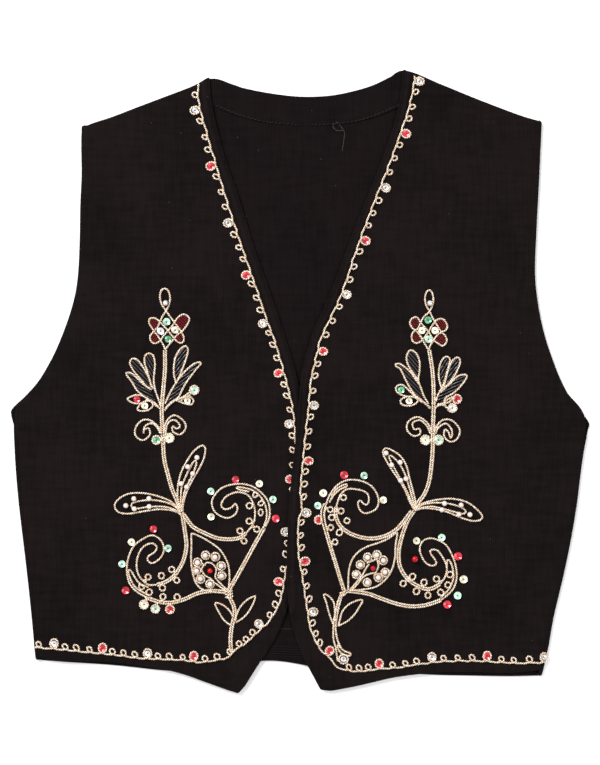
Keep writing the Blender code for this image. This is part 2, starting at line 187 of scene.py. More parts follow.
def new_group(name: str, inputs: dict[str, str], outputs: dict[str, str]) -> tuple[Nodes, dict, dict]:
    """Starts a shader node group with named sockets.

    Args:
        name: the group's name.
        inputs: the type of each input by name, such as Float.
        outputs: the type of each output by name.

    Returns:
        The group's nodes, its inputs as sockets, and its outputs as sockets.
    """
    tree = bpy.data.node_groups.new(name, "ShaderNodeTree")
    for names, side in ((inputs, "INPUT"), (outputs, "OUTPUT")):
        for title, kind in names.items():
            tree.interface.new_socket(title, in_out=side, socket_type="NodeSocket" + kind)
    start, end = tree.nodes.new("NodeGroupInput"), tree.nodes.new("NodeGroupOutput")
    return Nodes(tree), start.outputs, end.inputs


def stitch_group() -> bpy.types.NodeTree:
    """Columns of stocking stitch: their height, and a painted shade that darkens the grooves and the low
    parts of each stitch.

    Returns:
        The group, with inputs Place, Wale and Course and outputs Height and Shade.
    """
    nodes, given, made = new_group("stocking_stitch", {"Place": "Vector", "Wale": "Float", "Course": "Float"},
                                   {"Height": "Float", "Shade": "Float"})
    drift = nodes.math("MULTIPLY", nodes.math("SUBTRACT", nodes.noise(given["Place"], 9.0), 0.5), 0.012)
    sides = nodes.give(nodes.add("SeparateXYZ"), {0: given["Place"]})
    across = nodes.math("ADD", sides.outputs[0], drift)
    column = nodes.math("FRACT", nodes.math("DIVIDE", across, given["Wale"]))
    away = nodes.math("MULTIPLY", nodes.math("ABSOLUTE", nodes.math("SUBTRACT", column, 0.5)), 2.0)
    groove = nodes.math("POWER", away, 3.0)
    row = nodes.math("ADD", nodes.math("DIVIDE", sides.outputs[1], given["Course"]),
                     nodes.math("MULTIPLY", away, 0.6))
    leg = nodes.math("SINE", nodes.math("MULTIPLY", nodes.math("FRACT", row), math.pi))
    raised = nodes.math("MULTIPLY", nodes.math("SUBTRACT", 1.0, groove),
                        nodes.math("ADD", nodes.math("MULTIPLY", leg, 0.45), 0.55))
    nodes.link(raised, made["Height"])
    # painted shade: the lower a part of the stitch lies, the darker it is painted
    nodes.link(nodes.math("SUBTRACT", 1.0, raised), made["Shade"])
    return nodes.tree


def speckle_group() -> bpy.types.NodeTree:
    """Sparse small specks, such as lint on dark cloth.

    Returns:
        The group, with inputs Place, Scale and Share and output Mask.
    """
    nodes, given, made = new_group("specks", {"Place": "Vector", "Scale": "Float", "Share": "Float"},
                                   {"Mask": "Float"})
    cells = nodes.add("TexVoronoi", feature="F1")
    nodes.give(cells, {"Vector": given["Place"], "Scale": given["Scale"]})
    picked = nodes.give(nodes.add("SeparateColor"), {0: cells.outputs["Color"]})
    chosen = nodes.math("LESS_THAN", picked.outputs[0], given["Share"])
    close = nodes.ramp(cells.outputs["Distance"], 0.12, 0.2, 1.0, 0.0)
    nodes.link(nodes.math("MULTIPLY", chosen, close), made["Mask"])
    return nodes.tree


def new_material(name: str) -> tuple[Material, Nodes, Node, Socket]:
    """Starts a material with a Principled shader and Object coordinates.

    Args:
        name: the material's name.

    Returns:
        The material, its nodes, the shader, and the coordinates.
    """
    material = bpy.data.materials.new(name)
    material.use_nodes = True
    nodes = Nodes(material.node_tree)
    place = nodes.add("TexCoord").outputs["Object"]
    return material, nodes, material.node_tree.nodes["Principled BSDF"], place


@dataclass(frozen=True)
class KnitFinish:
    """Fine black jersey: its colours, its stitch and its nap, with painted shade in the stitches' grooves and
    painted light and shade on the edge band.
    """

    name: str
    # the cloth's pale and dark colours, between which painted shade, painted light and random tone are mixed
    light: Triple = (0.0074, 0.0046, 0.0048)
    dark: Triple = (0.0022, 0.0013, 0.0014)
    lint: Triple = (0.04, 0.036, 0.037)
    wale: float = 1.7 * MM
    course: float = 1.25 * MM
    depth: float = 0.16 * MM
    lint_scale: float = 420.0  # cells in a metre, each with a speck or none
    lint_share: float = 0.006
    roll: float = 4.8  # distance in millimetres of the edge band's ridge from the rim
    hollow: float = 3.0  # distance of the hollow on each side of that ridge from it
    band: float = 1.0  # how strongly the edge band shows, in its bump and in its painted light and shade
    painted_groove_shade: float = 0.75  # how dark the painted shade in the grooves between the stitches is
    painted_band_light_and_shade: float = 0.3  # how much paler the ridge is painted, and darker its hollows: painted highlight and painted shade
    band_rise: float = 2.6  # how high the ridge stands, in stitches

    def make(self, stitch_tree: bpy.types.NodeTree, speck_tree: bpy.types.NodeTree) -> Material:
        """Builds the material.

        Args:
            stitch_tree: the shared group of the stitches.
            speck_tree: the shared group of the specks.

        Returns:
            The finished material.
        """
        material, nodes, shader, place = new_material(self.name)
        stitch = nodes.add("Group", node_tree=stitch_tree)
        specks = nodes.add("Group", node_tree=speck_tree)
        nodes.give(stitch, {"Place": place, "Wale": self.wale, "Course": self.course})
        nodes.give(specks, {"Place": place, "Scale": self.lint_scale, "Share": self.lint_share})
        # painted shade: the stitches' grooves darken the cloth's colour
        grooves = nodes.math("MULTIPLY", stitch.outputs["Shade"], self.painted_groove_shade)
        # the edge band raises the bump, and paints a highlight on its ridge and shade in its hollows
        edge = self.edge_band(nodes)
        shade = nodes.math("SUBTRACT", nodes.math("ADD", grooves, self.worn(nodes, place)),
                           nodes.math("MULTIPLY", edge, self.painted_band_light_and_shade * self.band))
        shade = nodes.math("MAXIMUM", nodes.math("MINIMUM", shade, 1.0), 0.0)
        # the cloth's colour: painted shade in the grooves and in the band's hollows, painted light on the
        # band's ridge, and random darker clouds and streaks
        cloth = nodes.mix(shade, self.light, self.dark)
        fuzz = nodes.math("MULTIPLY", nodes.noise(place, 1800.0, 3.0), 0.35)
        height = nodes.math("ADD", nodes.math("ADD", stitch.outputs["Height"], fuzz),
                            nodes.math("MULTIPLY", edge, self.band_rise * self.band))
        nodes.give(shader, {
            "Base Color": nodes.mix(specks.outputs["Mask"], cloth, self.lint),
            "Normal": nodes.bump(height, self.depth),
            "Roughness": nodes.ramp(nodes.noise(place, 60.0), 0.3, 0.7, 0.86, 0.96),
            "Specular IOR Level": 0.05, "Sheen Weight": 0.02, "Sheen Roughness": 0.5,
        })
        return material

    def worn(self, nodes: Nodes, place: Socket) -> Socket:
        """How much darker a place is: soft clouds, with streaks along the rows and the columns."""
        worn = nodes.ramp(nodes.noise(place, 14.0, 4.0), 0.3, 0.7, -0.22, 0.34)
        for stretch in ((1.0, 6.0, 1.0), (6.0, 1.0, 1.0)):
            drawn = nodes.give(nodes.add("Mapping"), {"Vector": place, "Scale": stretch})
            streaks = nodes.ramp(nodes.noise(drawn.outputs[0], 45.0, 3.0), 0.3, 0.7, -0.2, 0.2)
            worn = nodes.math("ADD", worn, streaks)
        return worn

    def edge_band(self, nodes: Nodes) -> Socket:
        """The turned edge of the opening: a ridge, with a hollow on each side of it. It shapes the bump, and
        places the painted highlight on the ridge and the painted shade in the hollows.
        """
        rim = nodes.add("Attribute", attribute_name="rim").outputs["Fac"]
        hollows = nodes.math("ADD", nodes.hill(rim, self.roll - self.hollow, 1.5),
                             nodes.hill(rim, self.roll + self.hollow, 1.8))
        return nodes.math("SUBTRACT", nodes.hill(rim, self.roll, 2.2), nodes.math("MULTIPLY", hollows, 0.8))


@dataclass(frozen=True)
class CordFinish:
    """Two plies of gold foil thread: fine turns across them, painted shade between the plies, painted light
    on the crown of each turn, and an uneven gloss with painted glints.
    """

    name: str
    # the gold of the painted highlights, the gold away from them, and the painted shade between the plies
    painted_highlight_gold: Triple = (1.0, 0.90, 0.75)
    deep: Triple = (0.80, 0.54, 0.32)
    gap: Triple = (0.08, 0.028, 0.018)
    turn: float = 0.32
    depth: float = 0.05 * MM

    def make(self) -> Material:
        """Builds the material on the cord's own UV map: length and share round it.

        Returns:
            The finished material.
        """
        material, nodes, shader, place = new_material(self.name)
        strand = nodes.add("UVMap", uv_map="strand")
        along, around = nodes.give(nodes.add("SeparateXYZ"), {0: strand.outputs["UV"]}).outputs[:2]
        run = nodes.math("ADD", nodes.math("DIVIDE", along, self.turn), around)
        # each turn's crown is painted lighter, as painted light, and raised in the bump
        turn_relief_and_painted_light = nodes.math("SINE", nodes.math("MULTIPLY", nodes.math("FRACT", run), math.pi))
        # painted shade in the groove between the two plies
        groove = nodes.math("ABSOLUTE", nodes.math("SINE", nodes.math("MULTIPLY", around, 2 * math.pi)))
        groove = nodes.ramp(nodes.math("POWER", groove, 4.0), 0.25, 0.85)
        # glossier places are painted lighter as well: painted glints
        gloss_and_painted_glint = nodes.ramp(nodes.noise(place, 420.0, 3.0), 0.38, 0.58)
        share = nodes.math("ADD", nodes.math("MULTIPLY", gloss_and_painted_glint, 0.7), nodes.math("MULTIPLY", turn_relief_and_painted_light, 0.3))
        gold = nodes.mix(share, self.deep, self.painted_highlight_gold)
        nodes.give(shader, {
            "Base Color": nodes.mix(groove, gold, self.gap),
            "Roughness": nodes.ramp(gloss_and_painted_glint, 0.0, 1.0, 0.45, 0.28),
            "Normal": nodes.bump(turn_relief_and_painted_light, self.depth),
            "Metallic": 0.36, "Coat Weight": 0.35, "Coat Roughness": 0.2,
        })
        return material


@dataclass(frozen=True)
class MottledFinish:
    """Foil, glass, pearl or thread: a soft drift between two colours, and an uneven gloss."""

    name: str
    first: Triple
    second: Triple
    scale: float  # of the drift
    roughness: Place  # the least and the most
    detail: float = 2.0
    stretch: Place = (0.35, 0.65)  # the part of the noise over which the colour changes
    gloss_scale: float = 700.0
    gleam: float = 0.5
    metallic: float = 0.0
    coat: Place = (0.0, 0.05)  # weight and roughness of the clear coat

    @classmethod
    def foil(cls, name: str, colour: Triple, metallic: float = 0.25) -> "MottledFinish":
        """The plastic foil of sequins, each a little darker or paler."""
        deep = tuple(part * 0.6 for part in colour)
        pale = tuple(min(1.0, part * 1.25 + 0.008) for part in colour)
        return cls(name, deep, pale, 190.0, (0.06, 0.18), detail=1.0, gloss_scale=900.0,
                   metallic=metallic, coat=(0.3, 0.06))

    @classmethod
    def bead(cls, name: str, first: Triple, second: Triple, roughness: float, coat: float,
             scale: float = 220.0, gleam: float = 0.5) -> "MottledFinish":
        """Glass, pearl or plastic beads."""
        return cls(name, first, second, scale, (roughness * 0.8, roughness * 1.3), gleam=gleam,
                   coat=(coat, 0.05))

    @classmethod
    def dull(cls, name: str, first: Triple, second: Triple, scale: float, roughness: float,
             gleam: float) -> "MottledFinish":
        """Plain thread, or the floor."""
        return cls(name, first, second, scale, (roughness,) * 2, stretch=(0.3, 0.7), gleam=gleam)

    def make(self) -> Material:
        """Builds the material.

        Returns:
            The finished material.
        """
        material, nodes, shader, place = new_material(self.name)
        share = nodes.ramp(nodes.noise(place, self.scale, self.detail), *self.stretch)
        nodes.give(shader, {
            "Base Color": nodes.mix(share, self.first, self.second),
            "Roughness": nodes.ramp(nodes.noise(place, self.gloss_scale), 0.3, 0.7, *self.roughness),
            "Specular IOR Level": self.gleam, "Metallic": self.metallic,
            "Coat Weight": self.coat[0], "Coat Roughness": self.coat[1],
        })
        return material


# Modelling helpers


def deselect() -> None:
    """Clears the selection, so that an operator acts on the new piece alone."""
    for piece in bpy.context.selected_objects:
        piece.select_set(False)
    bpy.context.view_layer.objects.active = None


def put_in_scene(name: str, data: bpy.types.ID) -> Piece:
    """Makes an object of some data and puts it in the scene."""
    piece = bpy.data.objects.new(name, data)
    bpy.context.scene.collection.objects.link(piece)
    return piece


def apply_modifier(piece: Piece, kind: str, **settings: object) -> None:
    """Adds a modifier to a piece and applies it.

    Args:
        piece: the object.
        kind: the modifier's type.
        settings: its properties by name.
    """
    modifier = piece.modifiers.new(kind.lower(), kind)
    for name, value in settings.items():
        setattr(modifier, name, value)
    deselect()
    piece.select_set(True)
    bpy.context.view_layer.objects.active = piece
    bpy.ops.object.modifier_apply(modifier=modifier.name)


def pick(piece: Piece, chosen: set[int]) -> None:
    """Selects some of the vertices of a piece in edit mode, by index."""
    bpy.ops.mesh.select_mode(type="VERT")
    bpy.ops.mesh.select_all(action="DESELECT")
    shape = bmesh.from_edit_mesh(piece.data)
    for vert in shape.verts:
        vert.select = vert.index in chosen
    shape.select_flush_mode()
    bmesh.update_edit_mesh(piece.data)


@dataclass
class Pattern:
    """The points and faces of a small shape that is copied many times."""

    points: np.ndarray
    faces: list[tuple[int, ...]]

    @classmethod
    def take(cls, piece: Piece) -> "Pattern":
        """Takes the pattern from a modelled object, which is then removed.

        Args:
            piece: the object, with its shape round the origin, in metres.

        Returns:
            The pattern.
        """
        mesh = piece.data
        points = np.array([vert.co for vert in mesh.vertices], float)
        # Blender lists a new sphere's faces in another order each run, so they are sorted here
        faces = sorted(tuple(face.vertices) for face in mesh.polygons)
        bpy.data.objects.remove(piece)
        bpy.data.meshes.remove(mesh)
        return cls(points, faces)


class Stock:
    """The small shapes, each modelled once."""

    def __init__(self) -> None:
        """Models them all."""
        self.sequin = self.cup_sequin()
        self.pearl = self.drilled_bead(14, 9)
        self.bead = self.drilled_bead(8, 6)
        self.bugle = self.bugle_bead()

    @staticmethod
    def cup_sequin(sides: int = 18, hole: float = 0.22, floor: float = 0.42,
                   rise: float = 0.26, pleat: float = 0.03, foil: float = 0.05) -> Pattern:
        """A pleated cup with a hole in its middle, of radius 1.

        Args:
            sides: points round it.
            hole: the hole's radius.
            floor: the radius of its flat floor.
            rise: the height of its rim.
            pleat: how far every other point of the rim dips.
            foil: its thickness.

        Returns:
            The pattern.
        """
        deselect()
        bpy.ops.mesh.primitive_circle_add(vertices=sides, radius=hole, fill_type="NOTHING")
        piece = bpy.context.object
        bpy.ops.object.mode_set(mode="EDIT")
        bpy.ops.mesh.select_all(action="SELECT")
        for start, end, lift in ((hole, floor, 0.02), (floor, 1.0, rise)):
            bpy.ops.mesh.extrude_edges_move()
            bpy.ops.transform.resize(value=(end / start, end / start, 1))
            bpy.ops.transform.translate(value=(0, 0, lift))
        shape = bmesh.from_edit_mesh(piece.data)
        outer = [vert for vert in shape.verts if vert.co.xy.length > 0.9]
        rim = [vert.index for vert in sorted(outer, key=lambda vert: math.atan2(*vert.co.xy))]
        pick(piece, set(rim[::2]))
        bpy.ops.transform.translate(value=(0, 0, -pleat))
        bpy.ops.object.mode_set(mode="OBJECT")
        apply_modifier(piece, "SOLIDIFY", thickness=foil, offset=0.0)
        tidy_normals(piece)
        return Pattern.take(piece)

    @staticmethod
    def drilled_bead(segments: int, rings: int, dimple: float = 0.16) -> Pattern:
        """A round bead of radius 1 whose drilled hole lies along X.

        Args:
            segments: faces round it.
            rings: faces from end to end.
            dimple: how far each end of the hole dips in.

        Returns:
            The pattern.
        """
        deselect()
        bpy.ops.mesh.primitive_uv_sphere_add(segments=segments, ring_count=rings, radius=1.0)
        piece = bpy.context.object
        bpy.ops.object.mode_set(mode="EDIT")
        for end in (-1, 1):
            poles = {vert.index for vert in bmesh.from_edit_mesh(piece.data).verts if vert.co.z * end > 0.99}
            pick(piece, poles)
            bpy.ops.transform.translate(value=(0, 0, -dimple * end))
        bpy.ops.object.mode_set(mode="OBJECT")
        piece.data.transform(Matrix.Rotation(math.pi / 2, 4, "Y"))
        return Pattern.take(piece)

    @staticmethod
    def bugle_bead(sides: int = 8, rim: float = 0.3, swell: float = 0.06) -> Pattern:
        """A glass tube of radius 1 and length 2 along X, with rounded ends.

        Args:
            sides: faces round it.
            rim: how far its ends are rounded.
            swell: how far the middle of each end stands out.

        Returns:
            The pattern.
        """
        deselect()
        bpy.ops.mesh.primitive_cylinder_add(vertices=sides, radius=1.0, depth=2.0)
        piece = bpy.context.object
        bpy.ops.object.mode_set(mode="EDIT")
        bpy.ops.mesh.select_mode(type="FACE")
        bpy.ops.mesh.select_all(action="DESELECT")
        shape = bmesh.from_edit_mesh(piece.data)
        for face in shape.faces:
            face.select = abs(face.normal.z) > SIDE
        bmesh.update_edit_mesh(piece.data)
        bpy.ops.mesh.inset(thickness=rim, depth=swell)
        bpy.ops.object.mode_set(mode="OBJECT")
        piece.data.transform(Matrix.Rotation(math.pi / 2, 4, "Y"))
        return Pattern.take(piece)


def tidy_normals(piece: Piece) -> None:
    """Merges doubles and turns every face of a closed piece outwards."""
    shape = bmesh.new()
    shape.from_mesh(piece.data)
    bmesh.ops.remove_doubles(shape, verts=shape.verts, dist=1e-7)
    bmesh.ops.recalc_face_normals(shape, faces=shape.faces)
    shape.to_mesh(piece.data)
    shape.free()


def new_piece(name: str, points: np.ndarray, faces: list[tuple[int, ...]],
              material: Material, smooth: bool = True) -> Piece:
    """Makes an object at the origin from its points in metres, riding on the garment.

    Args:
        name: the piece's name.
        points: its points, one row each.
        faces: its faces as point indices.
        material: its finish.
        smooth: whether it is shaded smooth.

    Returns:
        The new object.
    """
    mesh = bpy.data.meshes.new(name)
    mesh.from_pydata(points.tolist(), [], faces)
    mesh.materials.append(material)
    if smooth:
        mesh.shade_smooth()
    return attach(put_in_scene(name, mesh), "root")


# Cloth


def smooth_step(share: float) -> float:
    """An even rise from 0 to 1 as share goes from 0 to 1."""
    share = min(1.0, max(0.0, share))
    return share * share * (3 - 2 * share)


@dataclass
class ClothPanel:
    """One cloth node made into a soft shell.

    Its form is the node's own. The coarse ridge that stands for the sewn cord goes,
    because the cord itself is laid there, and small creases are pressed in.
    """

    node: str
    creases: tuple[Fold, ...] = ()
    levels: int = 2
    ridge: float = 0.7 * MM  # a line that stands this far above both sides is the ridge
    band: float = 8.0 * MM  # width of the turned edge of the front opening
    opening_reach: float = 100 * MM  # the front opening lies this near to the middle
    band_end: float = -176 * MM  # below this the turned edge fades out
    band_fade: float = 24 * MM
    puff: float = 0.55 * MM  # how far the turned edge swells
    fuller: float = 0.8 * MM  # how far the outline moves out, as smoothing draws it in
    pulls: tuple[Pull, ...] = ()
    ripple: float = 0.12 * MM  # height of the waves that run all over the knit
    puffed: bool = True
    no_edge: float = 20.0  # what the rim mask says where no turned edge is near
    past_band: float = 12 * MM  # how much farther off the edge counts as where its band has faded
    join: Place = (60, 100)  # degrees between two triangles that join, and off square in their quad

    def build(self, material: Material) -> Piece:
        """Builds the shell and hides the node that it stands for.

        Args:
            material: the knit.

        Returns:
            The finished cloth.
        """
        mesh = bpy.data.objects[self.node].data.copy()
        mesh.name = self.node + "_cloth"
        piece = put_in_scene(mesh.name, mesh)
        self.merge(piece)
        rim, opening = self.rim_trees(piece)
        apply_modifier(piece, "SUBSURF", levels=self.levels, render_levels=self.levels)
        self.press(piece, rim, opening)
        mesh = piece.data
        mesh.materials.clear()
        mesh.materials.append(material)
        mesh.shade_smooth()
        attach(piece, "root")
        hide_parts(self.node)
        log.info("%s: %d faces", piece.name, len(mesh.polygons))
        return piece

    def merge(self, piece: Piece) -> None:
        """Joins the node's loose triangles into quads, lowers the cord's ridge and eases the outline."""
        shape = bmesh.new()
        shape.from_mesh(piece.data)
        bmesh.ops.remove_doubles(shape, verts=shape.verts, dist=1e-6)
        between, off_square = map(math.radians, self.join)
        bmesh.ops.join_triangles(shape, faces=shape.faces, angle_face_threshold=between,
                                 angle_shape_threshold=off_square)
        for face in shape.faces:
            face.smooth = True
        lowered = {}
        for vert in shape.verts:
            if vert.normal.z < FLAT:
                continue
            others = sorted((edge.other_vert(vert) for edge in vert.link_edges),
                            key=lambda other: (other.co.xy - vert.co.xy).length)[:2]
            if len(others) == 2 and all(vert.co.z - other.co.z > self.ridge for other in others):
                lowered[vert] = sum(other.co.z for other in others) / 2
        for vert, height in lowered.items():
            vert.co.z = height
        outward = {vert: vert.normal.xy.normalized() for vert in shape.verts if abs(vert.normal.z) < SIDE}
        for vert, way in outward.items():
            vert.co.xy += way * self.fuller
        for vert in shape.verts:
            for x, y, reach, dx, dy in self.pulls:
                away = (vert.co.xy - Vector((x, y)) * MM).length / (reach * MM)
                vert.co.xy += Vector((dx, dy)) * MM * smooth_step(1 - away)
        shape.normal_update()
        shape.to_mesh(piece.data)
        shape.free()

    def rim_trees(self, piece: Piece) -> tuple[KDTree, KDTree]:
        """Points along the outer edge of the top of the cloth, before it is made finer.

        Args:
            piece: the merged cloth.

        Returns:
            A tree of all the points, and one of those along the front opening.
        """
        shape = bmesh.new()
        shape.from_mesh(piece.data)
        found, opening = [], []
        for edge in shape.edges:
            rises = sorted(face.normal.z for face in edge.link_faces)
            if len(rises) == 2 and rises[1] > BEND > rises[0]:
                start, end = (vert.co for vert in edge.verts)
                steps = max(1, int((end - start).length / MM))
                points = [start.lerp(end, step / steps) for step in range(steps + 1)]
                found += points
                steep = abs(end.y - start.y) > abs(end.x - start.x)
                if steep and abs(start.x) < self.opening_reach and start.y > self.band_end - self.band_fade:
                    opening += points
        shape.free()
        return self.plant(found), self.plant(opening)

    @staticmethod
    def plant(points: list[Vector]) -> KDTree:
        """A tree of points, seen from above."""
        tree = KDTree(len(points))
        for index, place in enumerate(points):
            tree.insert((place.x, place.y, 0.0), index)
        tree.balance()
        return tree

    def press(self, piece: Piece, rim: KDTree, opening: KDTree) -> None:
        """Swells the turned front edge and presses the small creases into the top of the cloth."""
        mesh = piece.data
        places = np.empty(len(mesh.vertices) * 3)
        normals = np.empty(len(mesh.vertices) * 3, np.float32)
        mesh.vertices.foreach_get("co", places)
        mesh.vertex_normals.foreach_get("vector", normals)
        places, normals = places.reshape(-1, 3), normals.reshape(-1, 3)
        margins = np.full(len(places), self.no_edge)
        for index in np.flatnonzero(normals[:, 2] > FLAT):
            x, y = places[index, :2]
            away = rim.find((x, y, 0.0))[2]
            lift = self.crease_height(x / MM, y / MM) * MM * smooth_step(away / (self.band * 2))
            if self.puffed:
                turned = opening.find((x, y, 0.0))[2]
                turned += self.past_band * smooth_step((self.band_end - y) / self.band_fade)
                margins[index] = turned / MM
                if turned < self.band:
                    lift += self.puff * math.sin(math.pi * turned / self.band)
            places[index, 2] += lift + self.ripple * self.wave(x, y) * smooth_step(away / self.band)
        mesh.vertices.foreach_set("co", places.ravel())
        mesh.attributes.new("rim", "FLOAT", "POINT").data.foreach_set("value", margins.astype(np.float32))
        mesh.update()

    @staticmethod
    def wave(x: float, y: float) -> float:
        """The ripple of the knit at a place in metres, from -1 to 1: wandering waves of 3 to 5 cm."""
        return math.sin(x * 210 + 1.7 * math.sin(y * 96)) * math.sin(y * 131 + 0.6)

    def crease_height(self, across: float, up: float) -> float:
        """The sum of the small creases at a place, in millimetres."""
        total = 0.0
        for x, y, half_length, half_width, turn, height in self.creases:
            dx, dy = across - x, up - y
            angle = math.radians(turn)
            along = (dx * math.sin(angle) + dy * math.cos(angle)) / half_length
            beside = (dx * math.cos(angle) - dy * math.sin(angle)) / half_width
            if abs(along) < 3 and abs(beside) < 3:
                total += height * math.exp(-along ** 2 - beside ** 2)
        return total


class Surface:
    """The top of a finished cloth, with what lies over it and under it."""

    def __init__(self, cloth: Piece, over: Piece | None = None, under: Piece | None = None) -> None:
        """Reads the meshes.

        Args:
            cloth: the piece that things are sewn on.
            over: a piece that may lie on top of it.
            under: a piece that it lies on, which carries what passes its edge.
        """
        self.tree = self.read(cloth)
        self.cover = self.read(over) if over else None
        self.base = self.read(under) if under else None

    @staticmethod
    def read(piece: Piece) -> BVHTree:
        """A tree of a piece's faces."""
        return BVHTree.FromPolygons([vert.co.copy() for vert in piece.data.vertices],
                                    [tuple(face.vertices) for face in piece.data.polygons])

    def height(self, across: float, up: float) -> float | None:
        """How high the cloth's top is at a place, in millimetres; None off the cloth."""
        for tree in filter(None, (self.tree, self.base)):
            hit = tree.ray_cast(Vector((across * MM, up * MM, 0.1)), Vector((0, 0, -1)))[0]
            if hit is not None:
                return hit.z / MM
        return None

    def ceiling(self, across: float, up: float) -> float:
        """The height of the underside of what lies over a place, in millimetres."""
        if self.cover is None:
            return math.inf
        hit = self.cover.ray_cast(Vector((across * MM, up * MM, 0.0)), Vector((0, 0, 1)))[0]
        return math.inf if hit is None else hit.z / MM

    def slope(self, across: float, up: float, reach: float = 2.0) -> Vector:
        """The cloth's normal at a place, over a short reach in millimetres."""
        sides = [self.height(across + dx, up + dy)
                 for dx, dy in ((reach, 0), (-reach, 0), (0, reach), (0, -reach))]
        if None in sides:
            return Vector((0, 0, 1))
        east, west, north, south = sides
        return Vector((west - east, south - north, 2 * reach)).normalized()


# Cord work


def curve_through(places: Line | list[np.ndarray], steps: int = 10) -> np.ndarray:
    """A smooth line through some places.

    Args:
        places: the places in order.
        steps: points for each stretch between two places.

    Returns:
        The line's points, one row each.
    """
    ends = np.array(places, float)
    ends = np.vstack([2 * ends[0] - ends[1], ends, 2 * ends[-1] - ends[-2]])
    points = []
    for before, start, end, after in zip(ends, ends[1:], ends[2:], ends[3:]):
        for t in np.arange(steps) / steps:
            points.append(((2 * start) + (end - before) * t
                           + (2 * before - 5 * start + 4 * end - after) * t ** 2
                           + (3 * start - before - 3 * end + after) * t ** 3) / 2)
    points.append(ends[-2])
    return np.array(points)


def even_steps(line: np.ndarray, step: float) -> np.ndarray:
    """The same line with its points an even distance apart."""
    runs = np.linalg.norm(np.diff(line, axis=0), axis=1)
    length = np.concatenate([[0.0], np.cumsum(runs)])
    count = max(3, int(round(length[-1] / step)) + 1)
    wanted = np.linspace(0, length[-1], count)
    return np.column_stack([np.interp(wanted, length, line[:, k]) for k in range(line.shape[1])])


def unit(vectors: np.ndarray) -> np.ndarray:
    """The vectors, one to a row, each brought to length 1."""
    return vectors / np.maximum(np.linalg.norm(vectors, axis=1, keepdims=True), TINY)


def sideways(line: np.ndarray) -> np.ndarray:
    """The unit vector to the left of a flat line at each of its points."""
    ahead = unit(np.gradient(line, axis=0))
    return np.column_stack([-ahead[:, 1], ahead[:, 0]])


def nearest(line: np.ndarray, place: Place) -> int:
    """The number of a line's point that is nearest to a place."""
    return int(np.argmin(((line - np.array(place)) ** 2).sum(axis=1)))


def loop_places(reach: float, gap: float, half_height: float, end: float) -> Line:
    """The places of a loop that a cord makes beside its own line, as in a running hand.

    Args:
        reach: the loop's half width.
        gap: how far its middle is from the line.
        half_height: its half height.
        end: how far from the loop's middle the cord meets the line again.

    Returns:
        The places, as how far forward and how far out from the line.
    """
    low = max(0.25, gap - 0.95 * half_height)
    lower, upper = gap - 0.62 * half_height, gap + 0.72 * half_height
    rising = ((0.25 * reach, low), (0.78 * reach, lower), (reach, gap), (0.72 * reach, upper))
    falling = tuple((-forward, out) for forward, out in reversed(rising))
    return ((-end, 0.0), *rising, (0.0, gap + half_height), *falling, (end, 0.0))


@dataclass(frozen=True)
class Strand:
    """One cord, or two side by side, along a smooth line, and what fills the shape it closes.

    A strand of no cords is only the shape that is filled.
    """

    cords: int
    places: Line
    filling: Filling = NONE
    slant: float = 0.0


@dataclass(frozen=True)
class Spot:
    """A sequin: its place, colour and size, and whether a ring of cord holds it."""

    across: float
    up: float
    tint: Tint
    size: float = 6.4
    ring: bool = False


